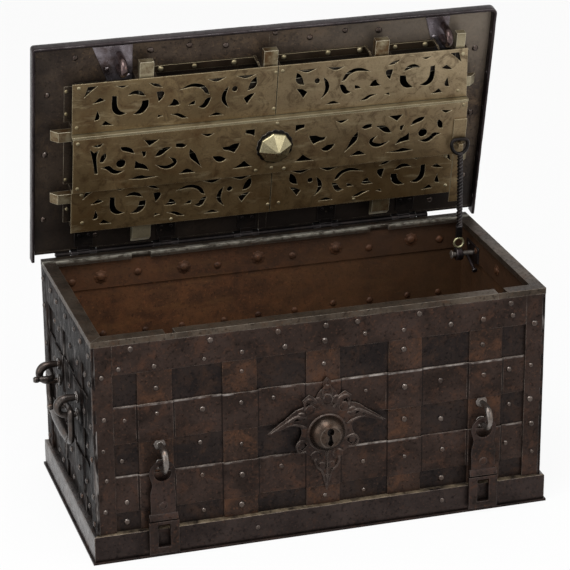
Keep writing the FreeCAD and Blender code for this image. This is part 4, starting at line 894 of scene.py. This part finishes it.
for side, label in ((-1, "left"), (1, "right")):
    x = side * STAPLE_X
    right_side = [(21.6, 151), (19, 141), (18.4, 134), (21, 126), (22.6, 115), (21.6, 100), (21.8, 81)]
    turns = [math.radians(200 - 220 * k / 18) for k in reversed(range(19))]
    outer = [Vector((x + 23.2 * math.cos(t), HASP_EYE_Z + 23.2 * math.sin(t))) for t in turns]
    strap = outer + [Vector((x - a, z)) for a, z in right_side[1:]]
    strap += [Vector((x + a, z)) for a, z in right_side[:0:-1]]
    plate([soften(strap, 60, 1), round_loop(x, HASP_EYE_Z, 14.6, 32)], ON_FRONT, 207.0, 211.0, 1.1)
    forge([(1, 0.0), (0, 1.2), (0.6, 6.4), (2.2, 8.0), (5.0, 7.4), (11.6, 4.2), (12.6, 3.4), (12.6, 0.4),
           (5, 0.6)], at(x - 24.8, -207.0, 69), X, Z, -Y, 49.6, step=4, wobble=0.0, dent=0.25, seed=side)
    foot = points2((x - 26.6, 8.3), (x + 26.6, 8.3), (x + 26.2, 40), (x + 26.6, 68.6), (x - 26.6, 68.6),
                   (x - 26.2, 40))
    window = points2((x - 10.6, 21), (x + 10.6, 21), (x + 10.2, 42), (x + 10.6, 62.6), (x - 10.6, 62.6),
                     (x - 10.2, 42))
    plate([foot, window], ON_FRONT, 208.0, 215.0, 1.3)
    dome(at(x, -211, 97), -Y, 6.6, 3.0, 14)
    keep("hasp_bar_" + label, "hasp_" + label, "hasp_iron", ["hasp_" + label], sharp=20)

# Handles: fat eyes and a drop bail whose ends turn out

EYE_Z = 237.96
for sx in (-1, 1):
    for y in SIDE_STRAPS:
        loop = [(398, 15.5), (419, 15.5), (430, 11), (434.5, 0), (430, -11), (419, -15.5), (398, -15.5)]
        tube([at(sx * a, y, EYE_Z + b) for a, b in loop],
             lambda t: 5.1 + 2.6 * max(0.0, math.sin(math.pi * min(1.0, t / 0.66))), 16, 7, seed=sx + y,
             rough=0.06)
        for b in (-15.5, 15.5):
            lathe(at(sx * 400, y, EYE_Z + b), X * sx, [(-0.5, 10.5), (1.3, 10.5), (2.4, 8)], 14, dent=0.8)
keep("handle_loops", "chest", "worn_iron", ["handle_eyes"])


def bail_radius(t):
    """Knobs at the ends, a swelling with collars in the middle."""
    end, middle = min(t, 1 - t), abs(t - 0.5)
    if middle < 0.075:
        return 6.0 + 3.2 * math.cos(middle / 0.075 * math.pi / 2)
    for reach, radius in ((0.012, 4.4), (0.035, 5.7), (0.05, 4.5)):
        if end < reach:
            return radius
    return 7.4 if middle < 0.095 else 5.7


for sx, label in ((-1, "left"), (1, "right")):
    bx, bz, low = sx * 415, 233.96, 171.96
    half = [at(bx + sx * 33.4, -59, bz + 1), at(bx + sx * 20, -59, bz + 0.5), at(bx + sx * 7, -59, bz),
            *(at(bx, y, z) for y, z in ((-64, bz), (-85, bz), (-91, bz - 6), (-91, low + 22), (-83, low + 7),
                                        (-65, low), (-30, low)))]
    tube(half + [Vector((p.x, -p.y, p.z)) for p in reversed(half)], bail_radius, 16, 8, seed=sx)
    keep("drop_" + label, "bail_" + label, "worn_iron", ["bail_" + label])

# Stay: bracket, knuckle, link and twisted rod

WALL_SIDE = (ORIGIN, -Y, Z, -X)
STAY_Y = 118.0
plate([points2((-88, 342), (-108, 334), (-130, 334), (-148, 360), (-148, 372), (-88, 372))], WALL_SIDE,
      -387.0, -384.5, 0.6)
dome(at(384.5, 100, 365), -X, 3.6, 1.8)
dome(at(384.5, 137, 364), -X, 3.6, 1.8)
tube([at(374, 114, 351), at(374.4, 98, 344), at(375, 80, 335)], 3.0, 10, 6)
lathe(at(375, 80, 335), Vector((0.03, -0.9, -0.43)), [(-1, 3), (0, 5.2), (2.5, 5.4), (4, 3.4)], 16)
keep("stay_wall", "chest", "lid_iron", ["stay_bracket"])
lathe(at(384.5, STAY_Y, 354), -X,
      [(0, 4.4), (24, 4.4), (34, 4.3), (37, 5.0), (38.6, 7.4), (40.4, 7.9), (41.4, 6.4)], 20, dent=0.15)
keep("stay_pivot", "chest", "bright_steel", ["stay_bracket"])
lathe(at(352, STAY_Y, 354), X,
      [(0.2, 5.0), (0.0, 10.6), (1.4, 11.9), (10.6, 11.9), (12.0, 10.6), (11.8, 5.0)], 28, dent=0.3)
keep("stay_barrel", "stay", "lid_iron", ["stay_knuckle"])


def flat_ring(centre, points, radius):
    tube([centre + (X * a + Z * b) * MM for a, b in points], radius, 10, 4, closed=True, rough=0.04)


link = [(9 * math.cos(k * 0.785), 9 * math.sin(k * 0.785)) for k in range(8)]
flat_ring(at(358, STAY_Y, 376.3), link, 2.1)
keep("stay_loop", "stay", "link_brass", ["stay_link"])
forge([(0.6, 0.2), (0, 0.8), (0, 4.2), (0.6, 4.9), (3.5, 5.0), (8.5, 5.0), (11.4, 4.9), (12, 4.2), (12, 0.8),
       (11.4, 0.2)], at(352, STAY_Y + 2.5, 387.1), Z, X, -Y, 22.6, step=3, wobble=0.0, dent=0.1)
tube([at(x, STAY_Y, z) for x, z in ((358, 407), (358, 452), (357.6, 500), (357, 549))],
     lambda t: 4.3 - 0.6 * abs(t - 0.5), 16, 34, turns=6.0, square=1.0, rough=0.02)
flat_ring(at(356, STAY_Y, 561), [(-11, 12.8), (0, 13.8), (11, 12.8), (15.4, 6), (13.6, -4), (8, -11),
                                 (0, -13.4), (-8, -11), (-13.6, -4), (-15.4, 6)], 3.3)
keep("stay_bar", "stay", "hinge_iron", ["stay_rod"])

# Lid: rounded skirt swept round three sides, and rivet heads on the sheet and the lock

SIDE_X, FRONT_V, LOW_V = 417.0, 424.5, -2.8
LEFT_R, RIGHT_R = 6.0, 12.0


def straight(x0, v0, x1, v1, inward, count):
    """Points of the lid's edge after a start, each with the direction into the lid."""
    return [(x0 + (x1 - x0) * k / count, v0 + (v1 - v0) * k / count, inward) for k in range(1, count + 1)]


def bend(x, v, radius, start):
    """Such points on a quarter turn round a corner's centre, after its start."""
    turns = [start - math.pi / 2 * k / 6 for k in range(1, 7)]
    return [(x + radius * math.cos(a), v + radius * math.sin(a), (-math.cos(a), -math.sin(a))) for a in turns]


edge_path = [(-SIDE_X, LOW_V, (1, 0))]
edge_path += straight(-SIDE_X, LOW_V, -SIDE_X, FRONT_V - LEFT_R, (1, 0), 60)
edge_path += bend(LEFT_R - SIDE_X, FRONT_V - LEFT_R, LEFT_R, math.pi)
edge_path += straight(LEFT_R - SIDE_X, FRONT_V, SIDE_X - RIGHT_R, FRONT_V, (0, -1), 110)
edge_path += bend(SIDE_X - RIGHT_R, FRONT_V - RIGHT_R, RIGHT_R, math.pi / 2)
edge_path += straight(SIDE_X, FRONT_V - RIGHT_R, SIDE_X, LOW_V, (-1, 0), 60)
skirt_section = [(2.0, -6.0), (0.7, -5.4), (0.0, -4.0), (0.0, 1.5), (0.0, 6.5), (0.1, 10.4), (0.8, 11.9),
                 (2.2, 12.5), (4.0, 12.4), (5.4, 11.6), (6.0, 10.0), (6.0, 4.0), (6.0, -2.0), (6.0, -6.0)]
rings = []
for x, v, (ix, iv) in edge_path:
    ring = []
    for a, n in skirt_section:
        dent = 0.35 * max(0.0, wave(x / 24, v / 24, n / 14)) + 0.3 * max(0.0, wave(x / 8, v / 8, n / 7))
        a += dent if a < 3.0 else -dent * 0.5
        ring.append(lid(x + ix * a, v + iv * a, n - (dent * 1.5 if n > 10 else 0)))
    rings.append(ring)
skin(rings)
for x, v in ((-411, 380), (-411, 300), (-411, 227), (-411, 129.5), (-411, 40)):
    dome(lid(x, v, 5), X, 3.6, 1.6, 10)
    dome(lid(-x, v - 6, 5), -X, 3.6, 1.6, 10)
for x in (-395, -300, -185, -60, 60, 150, 265, 345, 392):
    dome(lid(x, 418.5, 5), -LID_V, 3.6, 1.6, 10)
keep("lid_edge", "lid", "lid_iron", ["lid_skirt"])

for x, v in ((-208.4, 396.3), (76.5, 392.6), (202.3, 394.8), (13.1, 408), (-387.6, 325.7), (-340, 393.6),
             (387.2, 340.6), (-391.4, 208), (-393.8, 76.4), (-140, 399), (-75, 392), (140, 400), (392, 208),
             (392, 76), (-300, 34), (-180, 30), (130, 30), (330, 30)):
    r = rng.uniform(5.0, 6.2)
    dome(lid(x, v, -2), LID_N, r, 2.7, 14)
keep("sheet_heads", "lid", "rivet_iron")

for x, v in ((-355.2, 331.8), (-355, 287.5), (-354.8, 155.7), (-352, 95), (371, 318), (371, 230), (371, 105)):
    dome(lid(x, v, 0.5), LID_N, 3.6, 1.9)
for x, v in ((-190.8, 360.5), (-130.8, 360.2), (-60, 360), (29.7, 360.8), (110.1, 361.5), (168.7, 361),
             (233.8, 360.5), (290, 360)):
    r = rng.uniform(4.2, 5.4)
    dome(lid(x, v, 2), LID_N, r, r * 0.6)
for x, v in ((8, 348), (8, 276), (20, 350), (-340, 353), (352, 350), (8, 79), (28, 80), (-333, 140),
             (-331, 82), (345, 79), (340, 140), (-343, 276), (350, 276), (-170, 70), (170, 70)):
    dome(lid(x, v, LOW_ROWS), LID_N, 3.4, 1.5)
for x, v in ((13, 252), (7, 162), (-22, 160), (30, 158), (-343, 250), (-343, 160), (360, 252)):
    dome(lid(x, v, HIGH_ROW), LID_N, 3.4, 1.5)
keep("case_heads", "lid", "ledge_steel")

# Pierced cover plates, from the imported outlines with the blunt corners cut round

for row in ("upper_left", "upper_right", "lower_left", "lower_right", "middle"):
    node = "cover_" + row
    level = HIGH_ROW if row == "middle" else LOW_ROWS
    loops = sorted(outlines(node, ON_LID, level), key=lambda loop: -abs(area(loop)))
    if row == "middle":
        loops[0] = points2((COVER_X0, MIDDLE_V0), (COVER_X1, MIDDLE_V0), (COVER_X1, MIDDLE_V1),
                           (COVER_X0, MIDDLE_V1))
    plate([loops[0]] + [soften(loop) for loop in loops[1:]], ON_LID, level - COVER_T, level, 0.5, 0.7)
    keep(node + "_fretted", "lid", "cover_steel", [node], sharp=14)

# Ledges that carry the middle cover plate
width = COVER_X1 - COVER_X0
forge(bar_section(width, 13.0, 0.8, 60), lid(COVER_X0, MIDDLE_V1, LOW_ROWS - COVER_T), LID_V, X, LID_N, 3.8,
      step=1.9, wobble=0.0, dent=0.12, seed=4)
forge(bar_section(width, 8.0, 0.4, 30), lid(COVER_X0, MIDDLE_V0, LOW_ROWS), LID_V, X, LID_N, 3.0, step=1.5,
      wobble=0.0, dent=0.05, seed=5)
# Their paler steel is a painted highlight along the ledges
keep("cover_ledges", "lid", "ledge_steel", ["cover_middle"], sharp=30)

# Boss: round collar with a lobed edge, and eight facets rising to a blunt tip
BOSS_X, BOSS_V = 10.0, 206.01
lathe(lid(BOSS_X, BOSS_V, HIGH_ROW), LID_N, [(-0.4, 33.8), (1.6, 33.8), (2.8, 32.2), (3.0, 28)], 96, lobes=16,
      lobe=1.8)
keep("boss_collar", "lid", "fitting_iron", ["cover_boss"])
rings = []
for r, n in ((29.6, 43.8), (29.8, 48.4), (28.6, 50.0), (15.4, 59.2), (3.4, 67.2), (1.6, 67.8)):
    rings.append([lid(BOSS_X + r * math.cos(a), BOSS_V + r * math.sin(a), n + 0.25 * wave(a, r, 3))
                  for a in (t + 0.18 for t in circle(8))])
skin(rings)
keep("boss_facets", "lid", "boss_steel", ["cover_boss"], sharp=12)

# Ring staples and their plates
for x in RINGS:
    arch = [(-12.4, -3), (-12.4, 18), (-9.6, 30), (0, 36.4), (9.6, 30), (12.4, 18), (12.4, -3)]
    tube([lid(x, 382.4 + a, n) for a, n in arch], lambda t: 6.7 + 0.2 * math.sin(math.pi * t), 18, 8, seed=x)
keep("ring_loops", "lid", "ring_iron", ["lid_staples"])

for corners in (((-310.6, 412.2), (-284, 345), (-240, 345), (-240, 412.2)),
                ((287.4, 412.2), (301.1, 366.8), (310.1, 366.8), (310.1, 345.2), (332.6, 345.2),
                 (332.6, 412.2))):
    plate([points2(*corners)], ON_LID, -2.0, 0.4, 0.6)
for x, v in ((-284, 368), (-246, 352), (306, 373), (327, 352)):
    dome(lid(x, v, 0.4), LID_N, 3.4, 1.6)
keep("ring_plates", "lid", "plate_steel", ["staple_plates"], sharp=20)

# Back edge of the sheet, rolled round the hinge rod between the knuckles
HINGES = (-321.0, -170.5, -20.0, 130.5, 281.0)
EDGE_X0, EDGE_X1 = -372.0, 327.0
rolled = [(EDGE_X0, HINGES[0] - 24.8), *((x0 + 23.4, x1 - 23.4) for x0, x1 in zip(HINGES, HINGES[1:])),
          (HINGES[-1] + 24.8, EDGE_X1)]
turned = [math.radians(-150 + 300 * j / 14) for j in range(15)]
for a, b in rolled:
    rings = []
    for k in range(13):
        x = a + (b - a) * k / 12
        outer = 4.85 + 0.1 * wave(x / 15, 2, 7)
        ring = [lid(x, outer * math.cos(t), -outer * math.sin(t)) for t in turned]
        ring += [lid(x, 3.45 * math.cos(t), -3.45 * math.sin(t)) for t in reversed(turned)]
        rings.append(ring)
    skin(rings)
forge([(0.0, 0.0), (0.0, 1.0), (0.4, 1.2), (3.5, 1.2), (6.6, 1.2), (7.0, 1.0), (7.0, 0.0)],
      lid(EDGE_X0, 2.6, -5.8), X, LID_V, -LID_N, 698, step=10, wobble=0.0, dent=0.1, seed=9)
keep("rolled_edge", "lid", "hinge_iron")

# Rivets on the outside of the lid, on every crossing and strap
LID_BANDS = ((37, 103), (173, 239), (325.5, 391.5))
for x in STRAPS + [-390, -220, -73, 73, 220, 390]:
    strap = x in STRAPS
    for v in (54, 86, 138, 190, 222, 282, 342, 375) if strap else (70, 206, 358):
        if x == 0.0 and v in (190, 222):
            continue
        band = any(a < v < b for a, b in LID_BANDS)
        n = -6 - STRAP_T * (strap + band)
        dome(lid(x + rng.uniform(-3, 3), v + rng.uniform(-3, 3), n), -LID_N, 4.8, 2.2)
keep("lid_outer_heads", "lid", "rivet_iron")
for x in HINGES:
    for dx in (-16, 16):
        dome(at(x + dx, 201, 385), Y, 3.6, 1.7)
        dome(at(x + dx, 201, 354), Y, 3.6, 1.7)
keep("hinge_heads_body", "chest", "hinge_iron")
for x in HINGES:
    for dx, v in ((-9, 37), (9, 37), (0, 49)):
        dome(lid(x + dx, v, 0.6), LID_N, 3.4, 1.6)
keep("hinge_heads_lid", "lid", "hinge_iron")

# Camera, light, floor

cam = bpy.data.cameras.new("camera")
cam.sensor_width = 36.0
cam.lens = 161.866
cam.shift_x = -0.001355
cam.shift_y = 0.00049
cam.clip_end = 50
camera = bpy.data.objects.new("camera", cam)
bpy.context.scene.collection.objects.link(camera)
yaw, pitch, roll = (math.radians(a) for a in (16.62848645, 21.87538558, -0.36148817))
look = Vector((math.sin(yaw) * math.cos(pitch), math.cos(yaw) * math.cos(pitch), -math.sin(pitch)))
right = Vector((math.cos(yaw), -math.sin(yaw), 0))
up = right.cross(look)
right, up = (right * math.cos(roll) + up * math.sin(roll), up * math.cos(roll) - right * math.sin(roll))
turn = Matrix((right, up, -look)).transposed().to_4x4()
camera.matrix_world = Matrix.Translation((-1.193489, -3.973410, 2.046542)) @ turn
bpy.context.scene.camera = camera
bpy.context.scene.view_settings.view_transform = "Standard"


def seen_as_white(n, plain, white, share):
    """Mixes in plain white for the camera, reflections and what is seen through glass."""
    path = n.new("ShaderNodeLightPath").outputs
    seen = n.math("MAXIMUM", path["Is Camera Ray"], path["Is Glossy Ray"])
    seen = n.math("MAXIMUM", seen, path["Is Transmission Ray"])
    mix = n.new("ShaderNodeMixShader", {0: n.times(seen, share), 1: plain, 2: white})
    n.fill(n.out, {0: mix.outputs[0]})


bmesh.ops.create_grid(work, x_segments=1, y_segments=1, size=6.0)
mesh = bpy.data.meshes.new("floor")
work.to_mesh(mesh)
work.free()
floor = bpy.data.objects.new("floor", mesh)
bpy.context.scene.collection.objects.link(floor)
n = Nodes(bpy.data.materials.new("floor_paper"))
n.fill(n.shader, {"Base Color": (0.82, 0.82, 0.82, 1), "Roughness": 0.9})
seen_as_white(n, n.shader.outputs[0], n.new("ShaderNodeEmission").outputs[0], 0.92)
mesh.materials.append(n.mat)

world = bpy.data.worlds.new("studio")
bpy.context.scene.world = world
n = Nodes(world, "ShaderNodeOutputWorld", "ShaderNodeBackground")
WHITE = (1, 1, 1, 1)
n.fill(n.shader, {0: WHITE, 1: 0.5})
seen_as_white(n, n.shader.outputs[0], n.new("ShaderNodeBackground", {0: WHITE}).outputs[0], 1.0)


def softbox(name, where, aim, size, power, tall=None):
    data = bpy.data.lights.new(name, "AREA")
    data.shape = "RECTANGLE"
    data.size = size
    data.size_y = tall or size
    data.energy = power
    obj = bpy.data.objects.new(name, data)
    bpy.context.scene.collection.objects.link(obj)
    obj.location = where
    obj.rotation_euler = (Vector(aim) - Vector(where)).to_track_quat("-Z", "Y").to_euler()


softbox("key", (-0.6, -1.0, 2.6), (0, 0, 0.3), 1.6, 45)
softbox("left", (-2.2, -0.9, 1.1), (-0.3, 0, 0.3), 1.2, 16, 1.6)
softbox("right", (2.0, -1.8, 1.4), (0.2, 0, 0.4), 1.4, 12)
